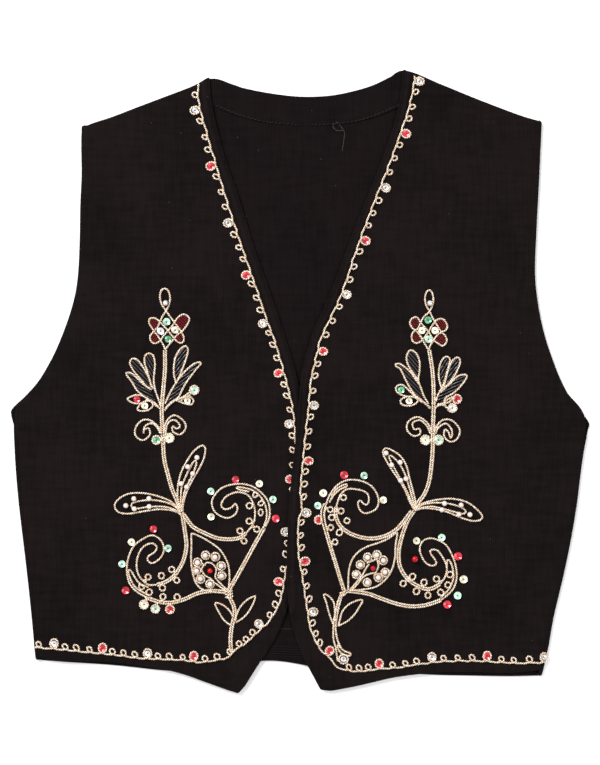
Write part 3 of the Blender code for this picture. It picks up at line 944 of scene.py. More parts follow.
@dataclass
class CordWork:
    """The gold cord of one part of the embroidery, gathered into one mesh."""

    surface: Surface
    radius: float = 0.82
    waist: float = 0.58  # the cord is this much narrower between its two plies
    twist: float = 3.6  # length of one full turn of the plies
    step: float = 0.5
    sides: int = 8
    uneven: float = 0.17  # how far its thickness varies, as a share
    sink: float = 0.12  # how far the cord sits into the cloth
    apart: float = 1.1  # half the distance between two cords side by side, in radii
    hop: float = 1.15  # how far a cord rises where it crosses another
    crossing: float = 1.7  # how near another cord counts as a crossing, in radii
    behind: float = 4.5  # how far back along itself a cord can be crossed
    clear: float = 0.15  # the least gap below a cloth that lies over a cord
    points: list[np.ndarray] = field(default_factory=list)
    faces: list[tuple[int, ...]] = field(default_factory=list)
    spans: list[tuple[float, float]] = field(default_factory=list)
    laid: list[np.ndarray] = field(default_factory=list)
    routes: list[np.ndarray] = field(default_factory=list)
    count: int = 0

    def lay(self, line: np.ndarray) -> None:
        """Lays one cord along a flat line of (across, up), over the cords already there."""
        line = even_steps(line, self.step)
        heights = [self.surface.height(x, y) for x, y in line]
        kept = [index for index, height in enumerate(heights) if height is not None]
        if len(kept) < 3:
            return
        steps = np.arange(kept[0], kept[-1] + 1)
        line = line[steps]
        heights = np.interp(steps, kept, [heights[index] for index in kept])
        lift = self.even_out(self.crossing_lift(line), 3)
        level = self.even_out(heights, 2) + self.radius - self.sink + lift
        ceilings = np.array([self.surface.ceiling(x, y) for x, y in line]) - self.radius - self.clear
        level = np.minimum(level, self.even_out(np.minimum(ceilings, level), 1))
        self.laid.append(line)
        self.tube(np.column_stack([line, level]))

    def crossing_lift(self, line: np.ndarray) -> np.ndarray:
        """How far each point of a new cord has to rise over itself and the cords already laid."""
        gaps = self.closest(line, line, int(self.behind / self.step))
        if self.laid:
            others = np.vstack(self.laid)
            low, high = line.min(axis=0) - 2 * self.radius, line.max(axis=0) + 2 * self.radius
            near = others[np.all((others > low) & (others < high), axis=1)]
            if len(near):
                gaps = np.minimum(gaps, self.closest(line, near))
        share = np.clip(1 - gaps / (self.crossing * self.radius), 0, 1)
        return self.hop * share * share * (3 - 2 * share)

    @staticmethod
    def closest(line: np.ndarray, others: np.ndarray, behind: int | None = None,
                batch: int = 200) -> np.ndarray:
        """How far each point of a line is from the nearest of some others.

        Args:
            line: its points.
            others: the points that it is compared with.
            behind: where a line is compared with itself, how many steps back a point must be to count.
            batch: how many points are compared at a time.

        Returns:
            The distance of each point.
        """
        gaps = np.full(len(line), FAR)
        order = np.arange(len(others))
        for start in range(0, len(line), batch):
            part = line[start:start + batch]
            apart = np.sqrt(((part[:, None, :] - others[None, :, :]) ** 2).sum(axis=2))
            if behind is not None:
                apart[(start + np.arange(len(part)))[:, None] - order[None, :] < behind] = FAR
            gaps[start:start + batch] = apart.min(axis=1)
        return gaps

    @staticmethod
    def even_out(values: np.ndarray, passes: int) -> np.ndarray:
        """Softens a row of values along its length."""
        for _ in range(passes):
            padded = np.concatenate([values[:1], values, values[-1:]])
            values = (padded[:-2] + 2 * padded[1:-1] + padded[2:]) / 4
        return values

    def tube(self, path: np.ndarray) -> None:
        """Adds a twisted tube along a path in millimetres, closed at both ends."""
        ahead = unit(np.gradient(path, axis=0))
        side = unit(np.cross(ahead, (0.0, 0.0, 1.0)))
        up = np.cross(side, ahead)
        run = np.arange(len(path)) * self.step
        turn = 2 * math.pi * run / self.twist
        # Its thickness swells every 2 to 3 mm, and each cord starts elsewhere on that wave
        swell = 1 + self.uneven * np.sin(2.6 * run + 1.9 * np.sin(0.83 * run) + len(self.laid))
        rings = []
        for k in range(self.sides):
            angle = 2 * math.pi * k / self.sides
            reach = self.radius * (self.waist + (1 - self.waist) * abs(math.cos(angle))) * swell
            spin = angle + turn
            rings.append(path + reach[:, None] * (np.cos(spin)[:, None] * side + np.sin(spin)[:, None] * up))
        body = np.stack(rings, axis=1).reshape(-1, 3)
        start = self.count
        self.points += [body, path[:1], path[-1:]]
        self.count += len(body) + 2
        last = len(path) - 1
        for i in range(last):
            for k in range(self.sides):
                a, b = start + i * self.sides + k, start + i * self.sides + (k + 1) % self.sides
                self.faces.append((a, b, b + self.sides, a + self.sides))
                here, there = float(run[i]), float(run[i + 1])
                low, high = k / self.sides, (k + 1) / self.sides
                self.spans += [(here, low), (here, high), (there, high), (there, low)]
        head, tail = start + len(body), start + len(body) + 1
        for k in range(self.sides):
            a, b = start + k, start + (k + 1) % self.sides
            c, d = a + last * self.sides, b + last * self.sides
            self.faces += [(b, a, head), (c, d, tail)]
            self.spans += [(0.0, 0.0)] * 6

    def strand(self, strand: Strand) -> None:
        """Lays a strand of one cord, or of two side by side."""
        line = even_steps(curve_through(strand.places), self.step)
        self.routes.append(line)
        if strand.cords == 1:
            self.lay(line)
            return
        for side in (-1, 1):
            self.lay(line + side * self.apart * self.radius * sideways(line))

    def hook(self, across: float, up: float, reach: float, tall: float = 1.0, far: float = 2.6,
             close: float = 0.6, end: float = 1.5) -> None:
        """Lays a small loop whose ends lie on the nearest strand, or a ring where none fits.

        Args:
            across: the middle of the loop.
            up: the middle of the loop.
            reach: its half width to the cord's middle.
            tall: its height as a share of its width.
            far: how many half widths away a strand may be.
            close: how many half widths away it must be.
            end: how far apart its two ends lie on the strand, halved.
        """
        middle = np.array((across, up))
        foot, ahead, gap = None, None, far * reach
        for route in self.routes:
            apart = np.sqrt(((route - middle) ** 2).sum(axis=1))
            at = int(np.argmin(apart))
            if apart[at] < gap:
                foot, gap = route[at], float(apart[at])
                ahead = route[min(at + 2, len(route) - 1)] - route[max(at - 2, 0)]
        if foot is None or gap < close * reach:
            self.ring(across, up, reach, tall)
            return
        out = (middle - foot) / gap
        side = np.array((-out[1], out[0]))
        if ahead @ side <= 0:
            side = -side
        line = curve_through(loop_places(reach, gap, reach * tall, end))
        self.lay(foot + line[:, :1] * side + line[:, 1:] * out)

    def ring(self, across: float, up: float, reach: float, tall: float = 1.0, start: float = 0.0,
             points: int = 40) -> None:
        """Lays a closed ring.

        Args:
            across: the middle of the ring.
            up: the middle of the ring.
            reach: its radius to the cord's middle.
            tall: its height as a share of its width.
            start: the angle at which the cord starts.
            points: how many points it has.
        """
        turn = start + np.linspace(0, 2 * math.pi, points)
        self.lay(np.column_stack([across + reach * np.cos(turn), up + reach * tall * np.sin(turn)]))

    def finish(self, name: str, material: Material) -> Piece:
        """Makes the gathered cord into a piece of this name and finish."""
        piece = new_piece(name, np.vstack(self.points) * MM, self.faces, material)
        layer = piece.data.uv_layers.new(name="strand")
        layer.data.foreach_set("uv", np.array(self.spans, np.float32).ravel())
        log.info("%s: %d faces, %.2f m of cord", name, len(self.faces),
                 sum(len(line) for line in self.laid) * self.step * MM)
        return piece


@dataclass
class Scatter:
    """Copies of one small shape, gathered into one mesh."""

    pattern: Pattern
    points: list[np.ndarray] = field(default_factory=list)
    faces: list[tuple[int, ...]] = field(default_factory=list)
    count: int = 0

    def put(self, place: Vector, scale: Triple, turn: float = 0.0, normal: Vector | None = None) -> None:
        """Adds one copy.

        Args:
            place: its middle, in millimetres.
            scale: its size along X, Y and Z, in millimetres for each unit.
            turn: its angle about its own upright axis, in radians.
            normal: the direction of that axis; straight up if None.
        """
        matrix = np.array(Matrix.Rotation(turn, 3, "Z"))
        if normal is not None:
            matrix = np.array(Vector((0, 0, 1)).rotation_difference(normal).to_matrix()) @ matrix
        body = (self.pattern.points * np.array(scale)) @ matrix.T + np.array(place)
        self.points.append(body)
        self.faces += [tuple(self.count + index for index in face) for face in self.pattern.faces]
        self.count += len(body)

    def finish(self, name: str, material: Material, smooth: bool = True) -> Piece | None:
        """Makes the gathered copies into a piece, if there are any."""
        if not self.points:
            return None
        return new_piece(name, np.vstack(self.points) * MM, self.faces, material, smooth)


# The embroidery's layout, in millimetres


RIGHT_BORDER = (
    (-81.4, 242), (-81.6, 237), (-81.2, 225), (-77.6, 209), (-68.4, 177), (-58.8, 145), (-48.4, 113),
    (-37.2, 81), (-26.4, 49), (-20.4, 33), (-15.6, 17), (-11.2, 1), (-7.2, -15), (-4.6, -31), (-3.6, -55),
    (-3.4, -79), (-3.4, -98), (-6.9, -119), (-8.3, -135), (-11.2, -152), (-15.6, -175), (-23.6, -190.4),
    (-32, -199), (-44, -210), (-50.6, -213.8), (-54, -217.4), (-60, -221.6), (-80, -224.8),
    (-96, -223), (-128, -221.6), (-144, -219.4), (-176, -216.2), (-207, -213.2), (-213, -213.6),
)
LEFT_BORDER = (
    (91.8, 244), (88.8, 225), (84, 209), (72.8, 177), (60, 145), (48, 113), (37.2, 81), (31.2, 65),
    (23.6, 49), (16.4, 33), (12.4, 17), (8.8, 1), (6.6, -23), (4, -47), (1.6, -71), (0.4, -87),
    (1.4, -102), (-1.2, -112), (-1.2, -137), (2.4, -159), (5.8, -183), (8.8, -199), (16, -214),
    (25, -222.4), (30.4, -228.4), (40, -231.6), (48, -232), (56, -231.2), (64, -230), (80, -228.8),
    (98, -225.8), (120, -223.8), (144, -223.8), (172, -225.4), (188, -225), (196.4, -225.4),
)


@dataclass(frozen=True)
class Border:
    """The cord along an edge: its line, and the sequins and loops on its inner side.

    Clear and red sequins take turns. Three loops lie between two of them, or as many as
    counts says after a sequin of that number, and extra holds loops placed one by one.
    A sequin whose number is in own_rings lies at its place, in a ring off the line.
    """

    line: Line
    inward: int
    sequins: Line
    counts: dict[int, int]
    extra: Line = ()
    own_rings: tuple[int, ...] = ()


BORDERS = {
    "right_front": Border(
        RIGHT_BORDER, -1,
        ((-83.6, 216.6), (-72.4, 171.8), (-58.8, 126.2), (-44, 84.6), (-30.8, 45.8), (-18.8, 6.2),
         (-9.6, -34.2), (-9.2, -78.2), (-11.2, -120.6), (-18.4, -160.2), (-34, -192.6),
         (-84.8, -218.2), (-121.6, -213.4), (-157.6, -212.6), (-196.4, -208.6)),
        {7: 0, 10: 0},
        ((-84.8, 228.2), (-3.4, -87.7), (-37.6, -201.4), (-44, -205.4), (-49.6, -207.8), (-57.6, -215.8),
         (-66, -220.6), (-75.6, -221.4), (-208.4, -210)),
    ),
    "left_front": Border(
        LEFT_BORDER, 1,
        ((96.8, 239.8), (86, 197.8), (69.6, 154.6), (53.2, 112.2), (38.8, 69), (19.2, 23.8),
         (12, -19.4), (8.8, -63.8), (6.4, -105), (6.4, -143.4), (12.4, -184.2), (24.8, -214.2),
         (34.8, -222.2), (63.2, -224.6), (105.6, -219.8), (150, -217.4), (195.2, -219.6)),
        {11: 0},
        own_rings=(12,),
    ),
}


@dataclass(frozen=True)
class Turn:
    """A loop of the border's running cord."""

    reach: float  # its half width
    gap: float  # how far its middle is from the line
    ring: bool  # whether it holds a sequin

    @property
    def end(self) -> float:
        """How far from the loop's middle the cord meets the line."""
        return 0.62 * self.reach + 0.9 if self.ring else 0.85 * self.reach + 1.1


@dataclass(frozen=True)
class RowForm:
    """How the rows of beads that fill a leaf are sewn."""

    spacing: float  # from row to row
    half: float  # half the width of a bead
    longest: float  # the greatest length of a bead
    inset: float  # how far a row stays inside the outline
    first: float = 0.5  # how much farther in the first row lies
    least: float = 1.2  # the shortest row
    between: float = 0.08  # half the gap between two beads
    seat: float = 0.9  # the middle of a bead stands this share of its half width above the cloth


ROWS = {
    BUGLES: RowForm(2.2, 0.5, 12.0, 1.1),
    BEADS: RowForm(1.5, 0.7, 2.1, 0.5),
}


@dataclass(frozen=True)
class StitchForm:
    """The stitches of a row."""

    pitch: float
    size: float
    radius: float  # of the thread
    lean: float  # the angle of a stitch from the row, in radians


@dataclass(frozen=True)
class Spray:
    """The layout of one front's embroidery."""

    strands: tuple[Strand, ...]
    loops: tuple[tuple[float, ...], ...]
    spots: tuple[Spot, ...]
    pearls: Line
    clear_bead: Place
    flower: Line  # its pearls, in the order of their solids
    web: tuple[Line, ...]  # the cords between the flower's pearls
    red_beads: Line = ()


RIGHT_STRANDS = (
    # The stem from the hem to the node, the turns round it, and the two small leaves
    Strand(2, ((-54.6, -217), (-55.6, -208), (-54.6, -197), (-52.4, -187), (-53, -180), (-56.6, -172),
        (-57, -167))),
    Strand(1, ((-59.8, -172.4), (-56.4, -173.4), (-53.6, -171.6))),
    Strand(1, ((-60, -170.2), (-56.8, -171), (-53.8, -169.4))),
    Strand(1, ((-59.6, -168), (-56.6, -168.6), (-54, -167.2))),
    Strand(1, ((-55.4, -195.4), (-60.8, -191), (-64.8, -184.8), (-67.8, -178.8), (-66.8, -177.2),
        (-61.6, -179), (-56.8, -183), (-53.4, -188.4))),
    Strand(1, ((-51.8, -191.8), (-50.4, -186), (-47.2, -179.8), (-41.6, -174.4), (-36.4, -172),
        (-35.8, -173.2), (-37.6, -178.2), (-41.6, -185.2), (-46.4, -190), (-51.6, -193))),
    # The upper scroll
    Strand(2, ((-56.8, -167), (-50, -155.4), (-43.4, -143.6), (-35, -128.4), (-28.4, -117))),
    Strand(1, ((-27.6, -116.4), (-24.2, -107.8), (-25.4, -96.6), (-31.6, -88.6), (-40, -83.4), (-51.2, -82.2),
        (-62.4, -85.4), (-69.2, -92.6), (-70.4, -99), (-67, -105.6), (-58.6, -109.4), (-52, -106.6),
        (-50, -101.6), (-51.8, -98), (-54.8, -101), (-60, -102.4), (-63, -99), (-59.4, -92.6), (-50.4, -88.8),
        (-41.4, -91.4), (-36.4, -101), (-36.8, -112.6), (-43, -121.6))),
    Strand(1, ((-29.4, -117.8), (-26.6, -108.6), (-27.8, -99), (-32.8, -91), (-39.4, -86.6), (-49.6, -84.6),
        (-49.4, -86.4), (-40.6, -88.4))),
    Strand(2, ((-43, -121.6), (-50, -125.8), (-64, -126), (-76, -121.6), (-85.6, -116.4), (-91.2, -109.2),
        (-94.4, -105.2))),
    # The lower scroll
    Strand(2, ((-94.4, -105.2), (-92.2, -119), (-90.8, -131), (-92.4, -140.6), (-95.4, -148), (-101, -156),
        (-108, -160.8), (-114.4, -162.8))),
    Strand(1, ((-114.4, -162.8), (-121.6, -162.6), (-128, -156.6), (-130.6, -149), (-129.6, -139.8),
        (-125.4, -132.6), (-118.6, -129.6), (-114.6, -132.4), (-116.2, -136.6), (-121.4, -140.2),
        (-121.4, -143.8), (-117.4, -145.4), (-111.2, -140.8), (-108.8, -134), (-111.4, -127),
        (-118.4, -123.2), (-127, -127), (-133.6, -132.8), (-137.6, -142.6), (-138.4, -152.6), (-136, -162.2),
        (-129.8, -168.8), (-121.6, -173.4))),
    Strand(1, ((-121, -165), (-129, -161), (-135.4, -151.4), (-137.2, -153.4), (-132, -164.4),
        (-120.8, -171.4))),
    Strand(2, ((-121.6, -173.4), (-112, -176.6), (-102.4, -177), (-92, -174.2), (-81.6, -169.6),
        (-70.4, -167.8), (-59.2, -168.6))),
    # The leaf round the pearl flower
    Strand(1, ((-57.4, -167.4), (-56.4, -157), (-57.6, -146.2), (-63.2, -135.8), (-69.8, -130.2),
        (-77.6, -125.4), (-85.8, -121.8), (-86.9, -123.2), (-86.8, -131), (-87, -144.6), (-84.4, -158.6),
        (-79, -166), (-70, -168.4))),
    # The long leaf to the side, and the one that stands up
    Strand(1, ((-95, -104.8), (-97.8, -101.2), (-104, -95.8), (-113.6, -92), (-124.8, -89.6), (-136, -89.8),
        (-144, -93.4), (-148.2, -99), (-145.6, -104.4), (-137.6, -106), (-124.8, -104), (-112, -102.4),
        (-100.8, -103.8), (-94.4, -107))),
    Strand(1, ((-95.6, -104.4), (-101, -99.4), (-108.8, -96.4), (-120, -95), (-132.6, -96.8), (-134.8, -99.6),
        (-132, -102), (-120, -100.4), (-107.2, -100.6), (-97, -104.2))),
    Strand(1, ((-96.2, -105), (-97.8, -93.4), (-97.6, -83.8), (-95.2, -73.4), (-90.4, -63.8), (-84.8, -55.8),
        (-78.8, -51.6), (-75.8, -53.6), (-76.8, -61.4), (-80.8, -70.2), (-86.4, -79.8), (-90.6, -88.6),
        (-93.2, -97), (-94, -104))),
    Strand(1, ((-95.4, -103), (-95.4, -93.4), (-94.4, -83.8), (-90.4, -74.2), (-86, -65.6), (-83.6, -63.6),
        (-83, -66.2), (-85.6, -74.2), (-89.6, -82.2), (-92.8, -90.2), (-94.6, -103))),
    # The stem up to the flower, and the curls on it
    Strand(2, ((-95.4, -104), (-98.6, -95), (-102.4, -86), (-105.8, -74), (-108.6, -62), (-109.6, -47),
        (-110.6, -23), (-109.2, -5), (-108, 10), (-108, 25))),
    Strand(1, ((-110.8, -42), (-113.8, -36), (-120, -31.2), (-126.4, -31.4), (-131.4, -37), (-131.4, -43.6),
        (-125.8, -47.2), (-120.2, -43), (-121, -37.6), (-125, -38.8))),
    Strand(1, ((-111.6, -42), (-114.6, -36.4), (-118.6, -33.6), (-124, -36), (-125.2, -41.8))),
    Strand(1, ((-109.2, -42), (-107, -32.6), (-100.8, -27.2), (-93.2, -31.6), (-91.4, -37.4), (-95.8, -42.6),
        (-101.6, -40.4), (-101.8, -36), (-98.6, -38), (-96, -35.4), (-100.4, -31), (-105.6, -33.6),
        (-107.8, -42))),
    # The fan of five filled leaves
    Strand(1, ((-112.6, -21.4), (-119.3, -16.3), (-125.3, -11.7), (-130.6, -7), (-134.6, -0.4), (-138.7, 5),
        (-138.3, 7), (-134.6, 6.2), (-130, 2.2), (-124.6, -3), (-119.8, -6.4)), BUGLES, -28),
    Strand(1, ((-118.6, -6.8), (-123.4, -3.4), (-127.4, 1.6), (-132.6, 7.6), (-136, 14), (-134.4, 18),
        (-130, 17), (-125.4, 11), (-122, 5), (-119.4, -1.6), (-117.6, -6)), BUGLES, -45),
    Strand(1, ((-118.6, -5), (-120.2, 1), (-122, 7.6), (-124.2, 14.4), (-124.2, 19.6), (-121, 22.4),
        (-117.4, 20.4), (-116, 14.4), (-116.4, 7.6), (-117, 1), (-115.8, -7), (-113.4, -14), (-111.4, -20)),
        BUGLES, -60),
    Strand(1, ((-99, -1.4), (-100.8, 5), (-100.8, 13), (-99.4, 19.6), (-96, 25.4), (-91.8, 28.2),
        (-89.6, 25.6), (-90.6, 19.6), (-93.4, 11.6), (-96, 5), (-99, -1.4)), BUGLES, 52),
    Strand(1, ((-108, -18), (-103.6, -8.6), (-98.6, -0.4), (-93.4, 6.4), (-88, 11.6), (-84, 14.4),
        (-80, 15.2), (-79.4, 13.8), (-82.6, 10.2), (-86.6, 5), (-91.4, -1.6), (-94.6, -7.6), (-97.4, -13),
        (-102.6, -16.6), (-107.6, -21.4)), BUGLES, 35),
    # The loops and cords beside the fan
    Strand(1, ((-121, -14.4), (-126, -11.6), (-132, -11.2), (-138, -14.2), (-133.4, -17.4), (-127, -17.6),
        (-121.6, -14.8), (-116.4, -17.2), (-112, -22))),
    Strand(1, ((-117.6, -17.4), (-121, -15.6), (-126, -17.2), (-130, -21.6), (-128.4, -23.6), (-122.4, -23.4),
        (-118, -20.4), (-117.6, -17.6))),
    Strand(1, ((-98.8, -15.2), (-93, -12.2), (-88.2, -8.8))),
    Strand(1, ((-97.4, -16.4), (-92, -13.6), (-87.4, -10.6))),
    Strand(1, ((-99, -15.6), (-94.4, -13.2), (-88, -12.6), (-85.2, -15.4), (-87, -18.6), (-92.4, -17.8),
        (-97.4, -15.8))),
    Strand(1, ((-97.6, -14), (-102.4, -17), (-106, -20.4), (-108.4, -23.4))),
    # The flower: a loop, and two crossing lines that make the four petals
    Strand(1, ((-107, 56.2), (-110.6, 61.6), (-112, 67.6), (-111, 72.4), (-108.2, 74.2), (-105.2, 72),
        (-103.9, 66.6), (-105, 60.6), (-107.6, 55.6), (-109.6, 52.6), (-111.8, 48), (-113.8, 43.4),
        (-117, 39.6), (-119.8, 36.2), (-119.2, 32.2), (-116, 30.2), (-112, 32.4), (-108.8, 36.8),
        (-105.4, 40.6), (-101.6, 45), (-97.6, 51), (-92.8, 53.6), (-88.6, 50.4), (-90, 45.8), (-94, 40.4),
        (-98.4, 36.8), (-102.4, 32), (-105.6, 28.2), (-108, 25))),
    Strand(1, ((-107, 56.2), (-103.8, 51.6), (-100, 46.6), (-96, 41), (-93, 35.4), (-93.8, 31.2),
        (-97.4, 31.2), (-102, 36), (-105.6, 40.6), (-112, 47.4), (-116, 50.4), (-120, 50), (-120.6, 46.6),
        (-117, 40.6), (-113.6, 36), (-111, 32), (-108.8, 28.2), (-108, 25))),
    Strand(0, ((-112.8, 46.4), (-116, 49.8), (-119.8, 49.6), (-120.2, 46.6), (-117, 41), (-114.4, 43)),
        BEADS, -55),
    Strand(0, ((-100.6, 46.8), (-97.4, 50.6), (-92.8, 53), (-89.2, 50.2), (-90.6, 45.8), (-94.6, 41)),
        BEADS, 50),
    Strand(0, ((-116.4, 39.8), (-119.2, 36), (-118.8, 32.4), (-116, 30.8), (-112, 33.4), (-113.4, 36.4)),
        BEADS, 55),
    Strand(0, ((-96, 40), (-93.6, 35.2), (-94.4, 32), (-97.4, 31.8), (-101.6, 35.6), (-98.4, 37.6)),
        BEADS, -50),
)
RIGHT_SPRAY = Spray(
    RIGHT_STRANDS,
    loops=(
        (-40.4, -99.6), (-40.6, -112), (-48, -119.8), (-34.6, -118.4), (-44.8, -127.8),
        (-35.6, -90.6, 1.7, 1.5), (-31, -97.6, 1.7, 1.5), (-31.4, -105, 1.7, 1.5), (-102.6, -150.6),
        (-110.8, -155.6), (-121.4, -156.6), (-126.6, -164.4), (-98.6, -159.2), (-110, -165.2),
        (-120.6, -168.8), (-109.6, -172.4), (-98.2, -172.8),
    ),
    spots=(
        Spot(-71.4, -88, MINT, 6), Spot(-51.6, -78.6, RED, 6), Spot(-32.6, -82, CREAM, 6),
        Spot(-21.6, -94.6, MINT, 6), Spot(-19.4, -109.8, RED, 6.4), Spot(-71.2, -108.4, CREAM, 6),
        Spot(-117.2, -118.2, RED, 6), Spot(-134.8, -128.6, CREAM, 6), Spot(-142.4, -146.2, MINT, 6),
        Spot(-105.6, -133.6, MINT, 6), Spot(-139.4, -167.2, RED, 6.4), Spot(-124.8, -178.6, CREAM, 5.8, True),
        Spot(-115.6, -182, MINT, 5.6, True), Spot(-104, -182.4, RED, 5.8, True),
        Spot(-114.8, -47, GREEN, 5.8, True), Spot(-104.6, -45.4, CREAM, 6.2, True),
        Spot(-130.4, -14.4, RED, 5.6), Spot(-124.2, -19.6, CREAM, 5.8), Spot(-84.6, -7, MINT, 6, True),
        Spot(-90, -15.6, CREAM, 5.4), Spot(-106.8, 47.6, MINT, 6.2), Spot(-111.6, 40.2, CLEAR, 6),
        Spot(-100, 41, CREAM, 6), Spot(-105.4, 33.6, GREEN, 5.8),
    ),
    pearls=(
        (-139.2, -99.4), (-132.8, -93.9), (-132.4, -102), (-120.8, -93.8), (-120.6, -100.2),
        (-82.4, -61), (-89.8, -68.4), (-85.8, -73.9), (-95.2, -82), (-90.6, -84.6),
    ),
    clear_bead=(-107.4, 62.6),
    flower=((-63, -147.7), (-68, -140.7), (-75.7, -139.3), (-82, -145), (-82.7, -151.7), (-79.7, -158),
            (-72, -162.3), (-62.7, -155.7)),
    web=(
        ((-58, -168.6), (-64, -164.3), (-68, -161.3), (-72, -157.7), (-76, -155.3), (-78, -152.3),
         (-78.7, -150), (-77.2, -147.6), (-78, -145.3)),
        ((-57.6, -167.6), (-62, -163.4), (-65.3, -160), (-67.8, -156.7), (-67.2, -153.3), (-67, -150.3),
         (-68.7, -147.3), (-71.3, -145.4), (-74.7, -145.2), (-76.6, -147.4)),
    ),
)

